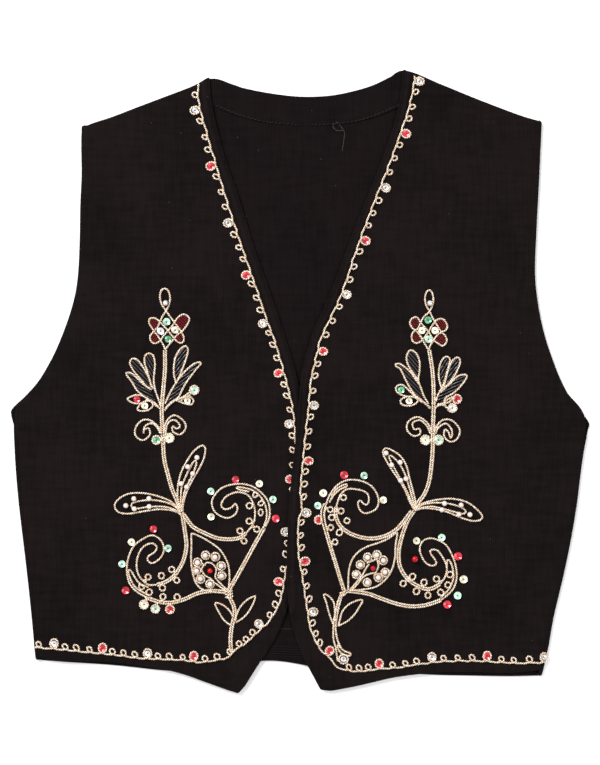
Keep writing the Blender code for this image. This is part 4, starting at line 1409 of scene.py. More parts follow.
LEFT_STRANDS = (
    # The stem from the hem to the node, the turns round it, and the two small leaves
    Strand(1, ((30.2, -224), (29.4, -219), (28.6, -213), (26.8, -206), (26.8, -195), (28.4, -184.6),
        (30.8, -175), (33.6, -168.4))),
    Strand(1, ((39.2, -219.6), (35.4, -218.8), (32, -216.4), (30, -212.4), (30.6, -211), (32.6, -213.4),
        (36, -216), (40, -217.4), (40.6, -218.8), (39.2, -219.6))),
    Strand(1, ((33, -213.6), (30.4, -208), (29, -202), (28.6, -196), (30.2, -184.6), (32.6, -175),
        (35.4, -168))),
    Strand(1, ((32, -171.8), (35, -171), (37.4, -168.8))),
    Strand(1, ((31.6, -169.4), (34.6, -168.8), (37, -166.8))),
    Strand(1, ((27.4, -196.4), (25.4, -191.4), (23, -184.6), (20.8, -176), (19, -171.6), (20.2, -170.4),
        (23.8, -172.6), (27, -177), (28, -184.6), (28.2, -192))),
    Strand(1, ((30.6, -196), (32, -190.6), (33.8, -184.4), (38.4, -179), (44.6, -175.8), (49.4, -174.8),
        (49.9, -176.4), (47.8, -180), (44, -186), (38.4, -191.6), (31.4, -195.4))),
    # The upper scroll
    Strand(1, ((34.4, -167.4), (31.2, -157.4), (27.8, -146.2), (23.8, -133.4), (19.6, -119), (17.4, -111),
        (17.2, -103), (19.4, -97.6))),
    Strand(1, ((36, -167), (32.9, -157.4), (29.6, -146.2), (25.6, -133.4), (21.6, -119), (19.4, -107),
        (21, -98), (24.6, -89.6), (30.6, -82.6), (38.4, -79), (48, -79.5), (56, -83), (60.8, -88.6),
        (62.9, -95), (61.6, -101.2), (56.8, -104.6), (51.2, -105.5), (47.5, -102.2), (46.4, -97.4),
        (48.4, -95.3), (50.7, -97.9), (53.8, -98.6), (55.2, -94.4), (53.6, -89.6), (48, -87), (38.4, -86.2),
        (33, -90), (30.6, -95), (29, -100.6))),
    Strand(1, ((23.4, -97), (26.8, -91.4), (32, -86.6), (37.4, -84.2), (36.6, -82.4), (30, -85.6),
        (25, -91.6))),
    Strand(2, ((29, -100.6), (28.6, -107), (31.2, -114.2), (36, -119.2), (42.4, -122.8), (50.4, -125.2),
        (58.4, -125.8), (66.4, -124.4), (73.6, -121.2), (80, -115.8), (89.4, -103.8))),
    # The lower scroll
    Strand(2, ((37.6, -167.6), (46.4, -168.6), (55.2, -170.2), (64, -173.4), (76, -177.6), (86.4, -179.8),
        (96, -179.8), (104, -178.2), (112.8, -175))),
    Strand(1, ((112.8, -175), (120, -169.2), (124, -163), (125.4, -155), (124, -145.4), (120.8, -137.4),
        (116.8, -131), (110.4, -127), (104, -125.6), (98.4, -127.8), (95.8, -133.4), (97.2, -139.8),
        (100.8, -145.4), (105.6, -147.6), (109, -146), (108, -142.6), (105, -138.6), (104.2, -135.8),
        (106.2, -134.6), (110, -135.4), (113, -139), (116.2, -144.6), (117.6, -150), (116, -156.6),
        (112, -162.2))),
    Strand(1, ((117.4, -150), (117.6, -144), (119.4, -143.2), (122, -149), (122.6, -158), (119, -166.4),
        (112.6, -173))),
    Strand(2, ((112, -162.2), (105.6, -165.8), (100, -166), (92.8, -163), (86.4, -158.2), (81.6, -151.8),
        (79.2, -144.6), (79.2, -135), (80.8, -127), (83.2, -119), (86.4, -111), (91.2, -103.8))),
    # The leaf round the pearl flower
    Strand(1, ((38.6, -167), (39, -152.6), (41.4, -143.4), (46.4, -136.8), (53.6, -132.4), (62.4, -129.4),
        (70.4, -126), (76.8, -121.4), (77.8, -122.6), (76.4, -131.8), (76, -141.4), (73.4, -151),
        (68.6, -158.4), (60.8, -164.4), (50, -166.6), (40, -167.4))),
    # The long leaf that stands up, and the one to the side
    Strand(1, ((91, -102), (88, -96.6), (84, -87), (79.2, -79), (73.6, -71), (68.8, -63), (66.4, -57),
        (68.6, -53.6), (74, -55.4), (80.6, -60.2), (85.2, -67.8), (87.6, -77.4), (90.2, -87), (92.6, -97),
        (92.8, -103))),
    Strand(1, ((91.6, -103), (86.4, -90), (81, -79.6), (75, -68.6), (71.2, -60.8), (73, -59.6), (78.6, -64.8),
        (83.4, -73), (87.2, -84), (92, -101))),
    Strand(1, ((92, -101.4), (94.4, -99.4), (100.8, -96.9), (110.4, -94.7), (121.6, -94), (132.8, -96.4),
        (140.8, -101.8), (145.8, -107.6), (144, -111), (137.6, -111.6), (128, -108.8), (118.4, -104.8),
        (108.8, -102.4), (99.2, -101.6), (92, -103.4))),
    Strand(1, ((93, -101.8), (99.2, -98.4), (108.8, -97.2), (118.4, -97.8), (128, -100.4), (132.6, -103.8),
        (130.4, -106), (123.2, -104.4), (113.6, -101.8), (104, -100.2), (93.4, -102.2))),
    # The stem up to the flower, and the curls on it
    Strand(2, ((92, -102.4), (94.4, -97.2), (99.4, -90.6), (103, -81.4), (104.8, -71), (106.2, -55),
        (106.4, -39), (107, -15), (106.2, 6), (103.4, 25))),
    Strand(1, ((105.6, -41), (102, -33.4), (94.4, -28.6), (87, -32), (85.6, -38.6), (90.4, -43.6),
        (95.8, -42.4), (95.8, -38), (91.4, -38.4), (90.2, -33.4), (96, -31.2), (101.4, -35.6), (104.4, -42))),
    Strand(1, ((107.2, -41), (109.4, -36), (114.4, -31), (121.6, -31.4), (127.8, -38.6), (125.8, -46),
        (120.2, -48.4), (115.4, -44), (116, -38.4), (119, -41), (120.2, -45.2), (121.8, -43), (121, -38),
        (116.8, -33.8), (110.8, -37), (108.4, -42))),
    # The fan of five filled leaves
    Strand(1, ((104.4, -22), (97.6, -15.4), (92, -11), (87.6, -4.6), (83.8, 2.6), (80.4, 9.6), (76.8, 12),
        (76.6, 13.6), (80, 14), (84.6, 10.8), (89, 6.6), (92.4, 1.6), (95, -2)), BUGLES, -45),
    Strand(1, ((95.4, -1.4), (92.6, 3.8), (88.6, 9.2), (85.8, 15), (85.4, 20.4), (88.2, 24.8), (92.8, 22.6),
        (95.6, 16), (95.6, 8), (94.6, 1), (97, -6), (99.2, -12), (102.8, -18)), BUGLES, -50),
    Strand(1, ((113, -5), (111.2, 2.4), (111.2, 9), (112.8, 15.4), (116.6, 19.8), (120, 17.4), (118.6, 10.6),
        (116.8, 4.2), (115, -2.2), (112.6, -6)), BUGLES, 60),
    Strand(1, ((114.6, -6), (116.8, 2.8), (119.2, 11), (122.2, 16.8), (126.2, 19.2), (128.2, 15.6),
        (125.6, 8.2), (121.8, 1.8), (116.8, -4.6), (112, -9)), BUGLES, 50),
    Strand(1, ((108.6, -16), (110.6, -10.6), (113.6, -5.8), (119.6, -2.4), (124, 2.4), (128.6, 5),
        (133.4, 4.8), (132.2, 1), (127.2, -5.4), (122.4, -9.6), (116.8, -13), (115.2, -17)), BUGLES, 24),
    # The loops and cords beside the fan
    Strand(1, ((104.4, -21), (97.4, -15.8), (92.8, -12.4), (88.4, -12.6), (82, -11.2), (77.2, -8), (77.4, -4),
        (81.6, -2.8), (85.4, -5.6), (90.4, -10.6), (97.6, -17))),
    Strand(1, ((94.8, -14.8), (90.4, -12.4), (85, -12.6), (80.6, -15), (81.6, -18.6), (87.4, -19.6),
        (92.6, -17.8), (94.8, -15))),
    Strand(1, ((107.6, -22), (110.6, -19.4), (115, -19.2), (118.4, -22))),
    Strand(1, ((109.8, -18.4), (115.4, -17.6), (119.4, -16.6), (122.6, -13.4))),
    Strand(1, ((116.4, -19.6), (115.2, -17.6), (118.4, -14.4), (123, -12.2))),
    # The flower: a loop, and two crossing lines that make the four petals
    Strand(1, ((103.6, 56.2), (101, 60.6), (100, 66), (100.9, 70.6), (103.2, 72.9), (105.6, 71), (106.7, 66),
        (106, 61), (103.2, 55.4), (99.2, 51.6), (96.6, 47.2), (94.4, 42.4), (90.2, 38.8), (89.4, 34.6),
        (91, 31.2), (94.6, 30.8), (98.4, 33.6), (102.8, 39.6), (107.2, 46.6), (110.4, 49.6), (114.6, 49.6),
        (117.8, 45), (116.8, 41), (113.6, 39.6), (109.6, 36.6), (106.4, 32), (104, 28.2), (103.2, 25))),
    Strand(1, ((103.6, 56.2), (106.6, 49.8), (109.6, 45), (112.8, 40), (116.2, 36.4), (117.4, 32),
        (114.4, 28.4), (110.2, 30.4), (106.4, 33.8), (102.8, 39.6), (96.8, 46.6), (93.6, 51.2), (89.6, 50.2),
        (88, 46.6), (90, 42.4), (93.4, 40), (96.8, 35.4), (100, 29.8), (102.8, 25))),
    Strand(0, ((95.6, 46.6), (93.2, 50.4), (89.8, 49.6), (88.6, 46.4), (90.6, 43), (93.6, 42.4)), BEADS, -55),
    Strand(0, ((108.4, 46.4), (111, 49.2), (114.4, 49), (117, 45), (116.2, 41.4), (112, 42)), BEADS, -55),
    Strand(0, ((93.4, 39.2), (90.6, 37.8), (90, 34.6), (91.6, 31.8), (94.4, 31.6), (96.4, 35)), BEADS, 55),
    Strand(0, ((112.8, 38.8), (115.8, 36.2), (116.8, 32), (114.4, 29.2), (110.2, 31.2), (108.6, 34)),
        BEADS, -45),
)
LEFT_SPRAY = Spray(
    LEFT_STRANDS,
    loops=(
        (34.8, -93), (32.8, -103.8), (37.6, -111.6), (31.6, -121), (24.2, -102.6), (25.4, -109),
        (24.6, -117), (28, -128.6), (90, -156.4), (99.2, -161), (109.2, -158.2), (82.6, -161.8),
        (93.2, -168), (102.4, -171.2), (112.6, -169), (118.4, -163), (120, -154.6),
    ),
    spots=(
        Spot(35.2, -75, RED, 6.6), Spot(51.2, -75.4, MINT, 6), Spot(18.6, -89.4, CREAM, 6.4),
        Spot(14.2, -99.4, MINT, 6), Spot(15, -110.8, RED, 5.6, True), Spot(66.6, -95, CREAM, 6),
        Spot(93.2, -127.6, CREAM, 6), Spot(113.4, -125, MINT, 6.2), Spot(126.4, -139.8, RED, 6.8),
        Spot(130.8, -158.4, CREAM, 6.6), Spot(126, -171.4, MINT, 6.4), Spot(117.8, -178.6, RED, 6.6),
        Spot(100.4, -47, CREAM, 6.4, True), Spot(110.8, -47, MINT, 6.4, True), Spot(81, -7, GREEN, 5.6),
        Spot(87.2, -15.8, CREAM, 5.6), Spot(125.6, -14.2, RED, 6, True), Spot(122, -21.4, CLEAR, 5.8, True),
        Spot(102.4, 49, GREEN, 6), Spot(97.6, 40.6, CREAM, 6), Spot(108, 40.6, CREAM, 6),
        Spot(102.8, 33.6, MINT, 6.2),
    ),
    pearls=(
        (68.8, -57.4), (73.2, -67), (80, -64.9), (80.4, -79.3), (84.8, -77.9),
        (115.5, -97.7), (128.8, -99), (113.4, -102.8), (127, -106.4), (135.8, -106.6),
    ),
    clear_bead=(103.9, 62.4),
    flower=((66.7, -143.3), (61.3, -138.9), (54, -140.8), (48.2, -146.9), (44.8, -154.3), (54, -161),
            (62.7, -157), (68, -152.7)),
    web=(
        ((40, -167), (44, -162.3), (47.3, -158.3), (50.7, -153.7), (53, -149.3), (55.3, -146.3)),
        ((53.3, -145.4), (56.7, -144.2), (60, -142.7), (62.3, -140.9)),
        ((61.5, -142), (62.3, -145), (62.8, -147.7), (61.7, -150.7), (60.3, -153.7), (59.3, -156)),
        ((41, -167.6), (46, -162.3), (49.3, -157.9), (52, -155.7), (55.3, -154.2), (58.7, -153.5),
         (60.7, -153.9)),
    ),
    red_beads=((92, -142.2),),
)

# Small creases: across, up, half length, half width, turn from upright, height
RIGHT_CREASES: tuple[Fold, ...] = (
    (-118, 150, 52, 6, -12, 0.4), (-146, 120, 40, 5, -8, -0.35), (-86, 96, 34, 6, -16, 0.35),
    (-160, 20, 30, 7, 30, 0.4), (-186, 4, 22, 6, 48, -0.35), (-60, -4, 30, 5, 8, 0.4),
    (-150, -60, 44, 7, -8, -0.4), (-178, -110, 40, 8, 10, 0.4), (-206, -130, 36, 6, 0, -0.4),
    (-160, -186, 10, 34, 12, 0.35), (-60, -186, 26, 6, 20, 0.35),
)
LEFT_CREASES: tuple[Fold, ...] = (
    (150, 160, 46, 6, 6, 0.4), (126, 90, 36, 5, 8, -0.35), (170, 60, 34, 6, -6, 0.35),
    (88, -4, 30, 5, 6, 0.4), (150, 12, 6, 44, 4, 0.4), (196, -10, 24, 6, -40, -0.35),
    (200, -60, 36, 7, 4, 0.4), (176, -140, 40, 7, 10, 0.4), (150, -176, 34, 7, 24, -0.4),
    (60, -196, 10, 30, -14, 0.35), (110, -200, 12, 34, 6, -0.35),
)


# Where the outline is eased: across, up, reach, and how far it is pulled
RIGHT_PULLS: tuple[Pull, ...] = (
    (-140, -229, 62, 0, 2.4), (-176, 185, 46, 1.2, 0), (-228, -18, 14, -0.5, 0.8),
    (-214, -8, 16, 1.8, -0.6),
)
LEFT_PULLS: tuple[Pull, ...] = (
    (228, -26, 16, 1.1, 1.3), (192, 206, 14, 0.6, 0.8), (172, -233, 40, 0, -1.6), (64, -240, 26, 0, 0.8),
    (219, -14, 12, -1.6, -0.4), (229, -27, 10, 1.6, 0.8),
)
NECK_PULLS: tuple[Pull, ...] = ((80, 246, 24, 0, 4.6), (-62, 240, 28, 0, 1.9), (-73, 242, 11, 0, 2.2))
RIGHT_NECK_PULL: Pull = (-72.8, 243.2, 6, -0.2, -0.3)

# Rows of stitches: the facing's lower edge, the turn of the back hem, and the ribs below it
FACING_LINE = ((-66, 220.6), (-48, 213.4), (-24, 207.4), (8, 205.2), (40, 207.8), (60, 213.2), (78, 221))
HEM_TURN = ((-20, -198), (-11, -198.4), (-2, -198.8))
HEM_RIBS = tuple(((-26.5 - drop, -212.4 - drop), (-12, -212.7 - drop), (0.3 + drop / 2, -213.3 - drop))
                 for drop in (0, 1.9, 3.8, 5.7, 7.6))
FACING_STITCH = StitchForm(pitch=3.2, size=2.4, radius=0.2, lean=0.35)
HEM_STITCH = StitchForm(pitch=2.4, size=1.9, radius=0.2, lean=0.1)
LOOSE_ENDS = (
    ((28.9, 208.1), (31.4, 205.6), (33.6, 203), (35.6, 199.4), (35.1, 193), (33.8, 184.4)),
    ((27.6, 206.9), (26.4, 204.4), (28.4, 201.6), (31.4, 200.8), (34.4, 201.2)),
)


class Palette:
    """Every finish, built once."""

    def __init__(self) -> None:
        """Builds the shader groups and the materials."""
        groups = stitch_group(), speckle_group()
        self.knit = KnitFinish("black_jersey").make(*groups)
        # the inside of the cloth for the back and the neck facing, with no edge band; its darker colours are
        # painted shade, as the back lies under and between the fronts
        self.inside = KnitFinish("black_jersey_inside", light=(0.0060, 0.0036, 0.0040),
                                 dark=(0.0018, 0.0010, 0.0012), band=0.0).make(*groups)
        self.gold = CordFinish("gold_thread").make()
        self.foil = {tint: MottledFinish.foil("foil_" + tint.name.lower(), tint.value,
                                              0.5 if tint is CLEAR else 0.25).make() for tint in Tint}
        bead = MottledFinish.bead
        self.pearl = bead("pearl", (0.74, 0.62, 0.56), (0.62, 0.51, 0.46), 0.18, 0.9).make()
        self.garnet = bead("garnet", (0.50, 0.002, 0.010), (0.28, 0.001, 0.005), 0.12, 0.2, gleam=0.25).make()
        self.jet = bead("jet", (0.012, 0.010, 0.012), (0.026, 0.020, 0.023), 0.34, 0.5).make()
        self.wine = bead("wine", (0.115, 0.0025, 0.005), (0.05, 0.001, 0.002), 0.35, 0.0, 500.0, 0.2).make()
        self.smoke = bead("smoke", (0.035, 0.028, 0.028), (0.012, 0.010, 0.010), 0.1, 0.8, 900.0).make()
        self.grey_thread = self.thread("grey_thread", (0.10, 0.09, 0.09))
        self.dull_thread = self.thread("dull_thread", (0.042, 0.036, 0.036))
        self.black_thread = self.thread("black_thread", (0.0075, 0.0055, 0.006))

    @staticmethod
    def thread(name: str, colour: Triple) -> Material:
        """Plain sewing thread, mottled along its length."""
        deep = tuple(part * 0.5 for part in colour)
        return MottledFinish.dull(name, deep, colour, 1200.0, 0.8, 0.15).make()


@dataclass
class Embroidery:
    """The border and the spray of one front."""

    name: str
    surface: Surface
    stock: Stock
    palette: Palette
    spray: Spray
    border: Border
    loop_reach: float = 2.2  # half width of the spray's small loops
    border_reach: float = 2.05  # and of the border's
    ring_reach: float = 2.95  # and of the border's loops that hold a sequin
    own_ring: float = 3.6  # and of the rings that stand off the border's line
    swing: float = 0.55  # how far the border swings out between two loops
    lean: Place = (-0.26, 0.38)  # which way the border's small loops lean, and by what share of their height
    stride: int = 6  # steps of the border's line between two places of its cord
    rest: int = 4  # steps from a loop to the next place
    small_sequin: float = 4.8
    large_sequin: float = 5.8
    ring_gap: float = 0.4  # between the edge of a sequin and the middle of its ring's cord
    ring_far: float = 2.0  # how many half widths from a strand a sequin's ring may hang
    tilt: float = 0.13  # how far a sequin tilts at most
    sequin_lift: float = 0.45  # how high it lies above the cloth
    seed_lift: float = 1.1  # how high the middle of the bead that holds it lies
    seed_size: Triple = (0.62, 0.62, 0.55)
    seat: float = 0.95  # the middle of a pearl stands this share of its radius above the cloth
    seed: int = SEED

    def __post_init__(self) -> None:
        """Starts the gathered meshes."""
        self.vary = random.Random(self.seed).uniform
        self.border_cord = CordWork(self.surface)
        self.spray_cord = CordWork(self.surface)
        self.sequins = {tint: Scatter(self.stock.sequin) for tint in Tint}
        self.clear_beads = Scatter(self.stock.bead)
        self.seeds = Scatter(self.stock.bead)
        self.leaf_pearls = Scatter(self.stock.pearl)
        self.rows = {filling: Scatter(self.stock.bugle) for filling in ROWS}

    def build(self) -> None:
        """Lays everything and makes the pieces."""
        self.lay_border()
        for strand in self.spray.strands:
            if strand.cords:
                self.spray_cord.strand(strand)
            self.fill(strand)
        for across, up, *form in self.spray.loops:
            if not form:
                form = self.loop_reach * self.vary(0.94, 1.06), self.vary(0.95, 1.15)
            self.spray_cord.hook(across, up, *form)
        for spot in self.spray.spots:
            self.sew_sequin(spot, self.spray_cord)
        self.sew_beads()
        self.lay_pearl_flower()
        self.border_cord.finish(self.name + "_border_cord", self.palette.gold)
        self.spray_cord.finish(self.name + "_spray_cord", self.palette.gold)
        for tint, scatter in self.sequins.items():
            name = "{}_sequins_{}".format(self.name, tint.name.lower())
            scatter.finish(name, self.palette.foil[tint], smooth=False)
        for ending, scatter, material in (
            ("_clear_beads", self.clear_beads, self.palette.foil[CLEAR]),
            ("_seed_beads", self.seeds, self.palette.smoke),
            ("_leaf_pearls", self.leaf_pearls, self.palette.pearl),
            ("_black_bugles", self.rows[BUGLES], self.palette.jet),
            ("_red_beads", self.rows[BEADS], self.palette.wine),
        ):
            scatter.finish(self.name + ending, material)

    def lay_border(self) -> None:
        """Lays the border as one running cord that loops beside its own line."""
        cord = self.border_cord
        line = even_steps(curve_through(self.border.line), cord.step)
        inside = sideways(line) * self.border.inward
        marks = [nearest(line, place) for place in self.border.sequins]
        turns = {}
        for number, mark in enumerate(marks):
            tint, size = (RED, self.large_sequin) if number % 2 else (CLEAR, self.small_sequin)
            if number in self.border.own_rings:
                cord.hook(*self.border.sequins[number], self.own_ring, far=self.ring_far)
                self.sew_sequin(Spot(*self.border.sequins[number], tint, size), cord)
            else:
                gap = self.ring_reach * 1.15 + self.vary(0.7, 1.2)
                turns[mark] = Turn(self.ring_reach * self.vary(0.96, 1.06), gap, ring=True)
                self.sew_sequin(Spot(*(line[mark] + inside[mark] * gap), tint, size), cord)
            if number + 1 < len(marks):
                count = self.border.counts.get(number, 3)
                for k in range(1, count + 1):
                    at = mark + (marks[number + 1] - mark) * k / (count + 1) + self.vary(-2, 2)
                    turns[int(at)] = self.small_turn()
        for place in self.border.extra:
            turns[nearest(line, place)] = self.small_turn()
        cord.lay(self.running_line(line, inside, turns))

    def small_turn(self) -> Turn:
        """A small loop of the border."""
        reach = self.border_reach * self.vary(0.9, 1.08)
        return Turn(reach, reach + self.vary(0.35, 0.75), ring=False)

    def half_height(self, turn: Turn) -> float:
        """Half the height of a loop: one that holds a sequin is the taller."""
        return turn.reach * (self.vary(1.12, 1.22) if turn.ring else self.vary(0.95, 1.1))

    def running_line(self, line: np.ndarray, inside: np.ndarray, turns: dict[int, Turn]) -> np.ndarray:
        """The border's line with its loops in it.

        Args:
            line: the line's points, evenly spaced.
            inside: the direction of the panel at each point.
            turns: each loop by the number of its point.

        Returns:
            The points of the running cord.
        """
        places, at = [], 0
        for mark, turn in sorted(turns.items()):
            half = int(turn.end / self.border_cord.step)
            first, last = mark - half, mark + half
            swing = self.swing * self.vary(0.5, 1.2)
            lean = np.array(self.lean) * (0.0 if turn.ring else swing / self.swing)
            for k in range(at, max(at + 1, first), self.stride):
                share = math.sin(math.pi * (k - at) / max(1, first - at))
                places.append(line[k] - inside[k] * swing * share)
            ahead = np.array((-inside[mark][1], inside[mark][0])) * -self.border.inward
            ahead = ahead if ahead @ (line[min(last, len(line) - 1)] - line[max(first, 0)]) > 0 else -ahead
            loop = loop_places(turn.reach, turn.gap, self.half_height(turn), turn.end)
            places += [line[mark] + (forward + out * (lean @ ahead)) * ahead + out * inside[mark]
                       for forward, out in loop]
            at = last + self.rest
        places += [*line[at::self.stride], line[-1]]
        return curve_through(places, self.stride)

    def sew_sequin(self, spot: Spot, cord: CordWork) -> None:
        """Sews one sequin, in a ring of cord if it has one.

        Args:
            spot: the sequin.
            cord: the cord work that its ring belongs to.
        """
        ground = self.surface.height(spot.across, spot.up)
        if ground is None or self.surface.ceiling(spot.across, spot.up) < math.inf:
            return
        if spot.ring:
            cord.hook(spot.across, spot.up, spot.size / 2 + self.ring_gap, far=self.ring_far)
        tilt = Vector((self.vary(-self.tilt, self.tilt), self.vary(-self.tilt, self.tilt), 1.0))
        normal = (self.surface.slope(spot.across, spot.up) + tilt).normalized()
        half = spot.size / 2 - 0.15
        for scatter, lift, size, up in ((self.sequins[spot.tint], self.sequin_lift, (half,) * 3, normal),
                                        (self.seeds, self.seed_lift, self.seed_size, None)):
            scatter.put(Vector((spot.across, spot.up, ground + lift)), size, self.vary(0, 6), up)

    def fill(self, strand: Strand) -> None:
        """Fills a strand's shape with parallel beads, each as long as its place allows."""
        if strand.filling is NONE:
            return
        form = ROWS[strand.filling]
        outline = curve_through(strand.places + strand.places[:1])
        angle = math.radians(strand.slant)
        along = np.array([math.cos(angle), math.sin(angle)])
        beside = np.array([-along[1], along[0]])
        offsets, places = outline @ beside, outline @ along
        low = offsets.min() + form.inset + form.first
        while low < offsets.max() - form.inset:
            cuts = sorted(self.cuts(offsets, places, low))
            if len(cuts) >= 2 and cuts[-1] - cuts[0] > 2 * form.inset + form.least:
                self.bead_row(along * (cuts[0] + form.inset) + beside * low,
                              along * (cuts[-1] - form.inset) + beside * low, strand)
            low += form.spacing

    @staticmethod
    def cuts(offsets: np.ndarray, places: np.ndarray, level: float) -> list[float]:
        """Where the outline crosses a line at this offset."""
        return [p + (q - p) * (level - a) / (b - a)
                for a, b, p, q in zip(offsets, offsets[1:], places, places[1:])
                if (a - level) * (b - level) < 0]

    def bead_row(self, start: np.ndarray, end: np.ndarray, strand: Strand) -> None:
        """Sews a row of beads end to end, from one place to another.

        Args:
            start: where the row starts.
            end: where it ends.
            strand: the strand whose shape it fills.
        """
        form = ROWS[strand.filling]
        length = float(np.linalg.norm(end - start))
        count = max(1, math.ceil(length / form.longest))
        size = length / count
        for k in range(count):
            middle = start + (end - start) * (k + 0.5) / count
            ground = self.surface.height(*middle)
            if ground is None:
                continue
            turn = math.radians(strand.slant) + self.vary(-0.05, 0.05)
            self.rows[strand.filling].put(Vector((*middle, ground + form.half * form.seat)),
                                          (size / 2 - form.between, form.half, form.half), turn,
                                          self.surface.slope(*middle))

    def sew_ball(self, scatter: Scatter, place: Place, half: float, lift: float, turn: float = 0.0) -> None:
        """Sews on a round bead whose middle stands this high above the cloth."""
        scatter.put(Vector((*place, self.surface.height(*place) + lift)), (half,) * 3, turn)

    def sew_beads(self, half: float = 2.1) -> None:
        """Sews the small pearls in the long leaves, and the single clear and red beads."""
        for place in self.spray.pearls:
            self.sew_ball(self.leaf_pearls, place, half, half * self.seat, self.vary(0, 6))
        self.sew_ball(self.clear_beads, self.spray.clear_bead, half=2.35, lift=2.0)
        if self.spray.red_beads:
            beads = Scatter(self.stock.pearl)
            for place in self.spray.red_beads:
                self.sew_ball(beads, place, half=2.6, lift=2.4)
            beads.finish(self.name + "_red_round_beads", self.palette.garnet)

    def lay_pearl_flower(self, ring: float = 3.2, share: float = 0.92) -> None:
        """Dresses the big flower: its pearls and bead, their rings, and the cords between.

        Args:
            ring: the half width of a pearl's ring of cord.
            share: the size of a pearl as a share of its solid.
        """
        nodes = ["{}_flower_pearl_{}".format(self.name, number) for number in range(1, 9)]
        centre = self.name + "_flower_centre"
        pearls, bead = Scatter(self.stock.pearl), Scatter(self.stock.pearl)
        for node, (across, up) in zip(nodes, self.spray.flower):
            low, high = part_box(node)
            half = (high - low).x / 2 / MM * share
            self.sew_ball(pearls, (across, up), half, half * self.seat, self.vary(0, 6))
            self.spray_cord.ring(across + self.vary(-0.35, 0.35), up + self.vary(-0.35, 0.35),
                                 ring * self.vary(0.94, 1.04), self.vary(0.95, 1.08),
                                 self.vary(0, 6))
        low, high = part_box(centre)
        bead.put((low + high) / 2 / MM + Vector((0, 0, 0.3)), (2.1, 2.1, 1.7), 0.6)
        for places in self.spray.web:
            self.spray_cord.strand(Strand(1, places))
        piece = pearls.finish(self.name + "_flower_pearls", self.palette.pearl)
        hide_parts(*nodes)
        piece = bead.finish(self.name + "_flower_bead", self.palette.garnet)
        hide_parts(centre)


@dataclass
class Sewing:
    """The stitches, ribs and loose thread at the back of the neck and at the back hem."""

    palette: Palette

    def build(self, facing: Surface, back: Surface) -> None:
        """Sews them all, on the tops of the neck facing and the back."""
        self.row("facing_stitches", FACING_LINE, facing, FACING_STITCH)
        self.row("hem_turn_stitches", HEM_TURN, back, HEM_STITCH)
        self.threads("hem_ribs", HEM_RIBS, back, 0.34, self.palette.black_thread)
        self.threads("loose_thread", LOOSE_ENDS, facing, 0.16, self.palette.grey_thread)

    def row(self, name: str, places: Line, surface: Surface, form: StitchForm) -> None:
        """Sews a row of stitches along a line.

        Args:
            name: the piece's name.
            places: the line, as given.
            surface: the cloth it is sewn on.
            form: its stitches.
        """
        rng = random.Random(SEED)
        line = even_steps(curve_through(places), form.pitch)
        ahead = np.gradient(line, axis=0)
        stitches = CordWork(surface, radius=form.radius, waist=1.0, step=form.size / 4, sides=5,
                            sink=form.radius * 0.4, hop=0.0)
        for middle, (dx, dy) in zip(line, ahead):
            angle = math.atan2(dy, dx) + form.lean + rng.uniform(-0.25, 0.25)
            half = form.size / 2 * rng.uniform(0.75, 1.15)
            reach = np.array([math.cos(angle), math.sin(angle)]) * half
            stitches.laid = []
            stitches.lay(np.vstack([middle - reach, middle, middle + reach]))
        stitches.finish(name, self.palette.dull_thread)

    def threads(self, name: str, lines: tuple[Line, ...], surface: Surface, radius: float,
                material: Material) -> None:
        """Lays long single threads along given lines.

        Args:
            name: the piece's name.
            lines: the line of each thread.
            surface: the cloth they lie on.
            radius: the radius of a thread.
            material: its finish.
        """
        thread = CordWork(surface, radius=radius, waist=1.0, step=0.6, sides=6, sink=radius * 0.3)
        for line in lines:
            thread.strand(Strand(1, line))
        thread.finish(name, material)


@dataclass(frozen=True)
class Lamp:
    """A square light that is aimed at the middle of the cloth."""

    name: str
    place: Triple
    size: float
    power: float


LAMPS = (
    Lamp("key", (-1.5, 1.65, 2.1), 1.2, 115.0),
    Lamp("fill", (1.4, -0.7, 1.6), 1.2, 19.0),
)


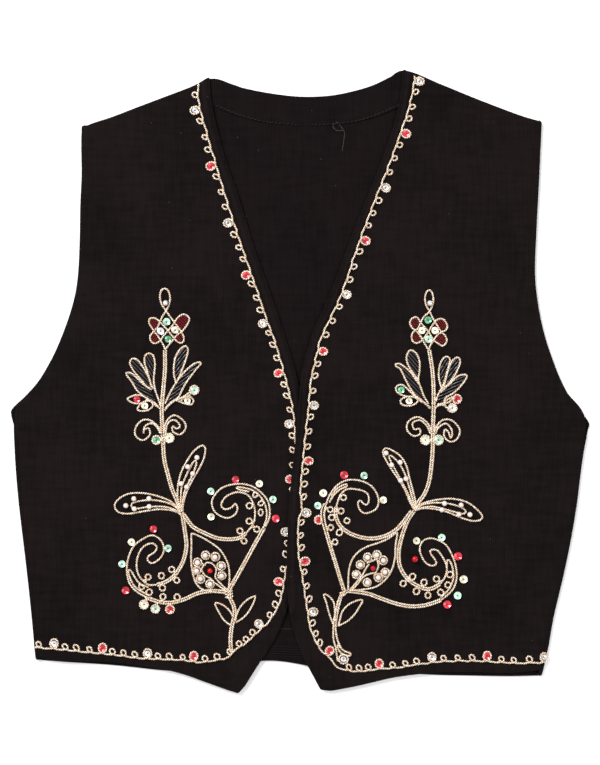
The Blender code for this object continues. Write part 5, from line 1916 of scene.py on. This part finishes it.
@dataclass
class Studio:
    """The floor, the lights and the camera."""

    view_width: float = 612 * MM  # along the long side of the frame
    lens: float = 100.0
    sensor: float = 36.0
    aim_up: float = -1 * MM
    aim_height: float = 5 * MM
    floor_size: float = 6.0
    floor_drop: float = 0.2 * MM  # how far the floor lies below the cloth
    room_light: float = 0.75

    def build(self) -> None:
        """Builds all three, and shows colours as they are."""
        bpy.context.scene.view_settings.view_transform = "Standard"
        self.floor()
        self.lights()
        self.camera()

    def floor(self) -> None:
        """A plain pale floor."""
        deselect()
        bpy.ops.mesh.primitive_plane_add(size=self.floor_size)
        piece = bpy.context.object
        piece.name = "floor"
        piece.data.transform(Matrix.Translation((0, 0, -self.floor_drop)))
        finish = MottledFinish.dull("pale_floor", (0.90,) * 3, (0.93,) * 3, 3.0, 0.9, 0.1)
        piece.data.materials.append(finish.make())

    def lights(self) -> None:
        """A pale room, a soft key from the upper left and a weaker fill."""
        world = bpy.data.worlds.new("room")
        bpy.context.scene.world = world
        world.use_nodes = True
        Nodes(world.node_tree).give(world.node_tree.nodes["Background"],
                                    {"Color": (1.0, 1.0, 1.0, 1.0), "Strength": self.room_light})
        for lamp in LAMPS:
            light = bpy.data.lights.new(lamp.name, "AREA")
            light.shape, light.size, light.energy = "SQUARE", lamp.size, lamp.power
            piece = put_in_scene(lamp.name, light)
            piece.location = lamp.place
            piece.rotation_euler = (-Vector(lamp.place)).to_track_quat("-Z", "Y").to_euler()

    def camera(self) -> None:
        """A camera straight above, as far off as its view of the cloth needs."""
        data = bpy.data.cameras.new("camera")
        data.lens, data.sensor_width = self.lens, self.sensor
        camera = put_in_scene("camera", data)
        camera.location = (0, self.aim_up, self.aim_height + self.view_width * self.lens / self.sensor)
        bpy.context.scene.camera = camera


def main() -> None:
    """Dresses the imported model, piece by piece."""
    logging.basicConfig(level=logging.INFO, format="%(name)s: %(message)s")
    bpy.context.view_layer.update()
    palette, stock = Palette(), Stock()
    back = ClothPanel("back", puffed=False, pulls=RIGHT_PULLS + LEFT_PULLS + NECK_PULLS).build(palette.inside)
    right_pulls = RIGHT_PULLS + (RIGHT_NECK_PULL,)
    right = ClothPanel("right_front", RIGHT_CREASES, pulls=right_pulls).build(palette.knit)
    left = ClothPanel("left_front", LEFT_CREASES, pulls=LEFT_PULLS).build(palette.knit)
    facing = ClothPanel("back_neck_facing", puffed=False, ripple=0.05 * MM).build(palette.inside)
    Embroidery("right_front", Surface(right, left, back), stock, palette, RIGHT_SPRAY,
               BORDERS["right_front"]).build()
    Embroidery("left_front", Surface(left, None, back), stock, palette, LEFT_SPRAY,
               BORDERS["left_front"]).build()
    Sewing(palette).build(Surface(facing, None, back), Surface(back))
    Studio().build()


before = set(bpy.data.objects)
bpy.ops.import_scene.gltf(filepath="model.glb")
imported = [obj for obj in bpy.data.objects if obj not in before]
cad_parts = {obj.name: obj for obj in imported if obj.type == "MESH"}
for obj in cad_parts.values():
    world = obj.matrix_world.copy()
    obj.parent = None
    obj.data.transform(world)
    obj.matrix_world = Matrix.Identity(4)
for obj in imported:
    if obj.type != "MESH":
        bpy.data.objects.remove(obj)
if __name__ == "__main__":
    main()
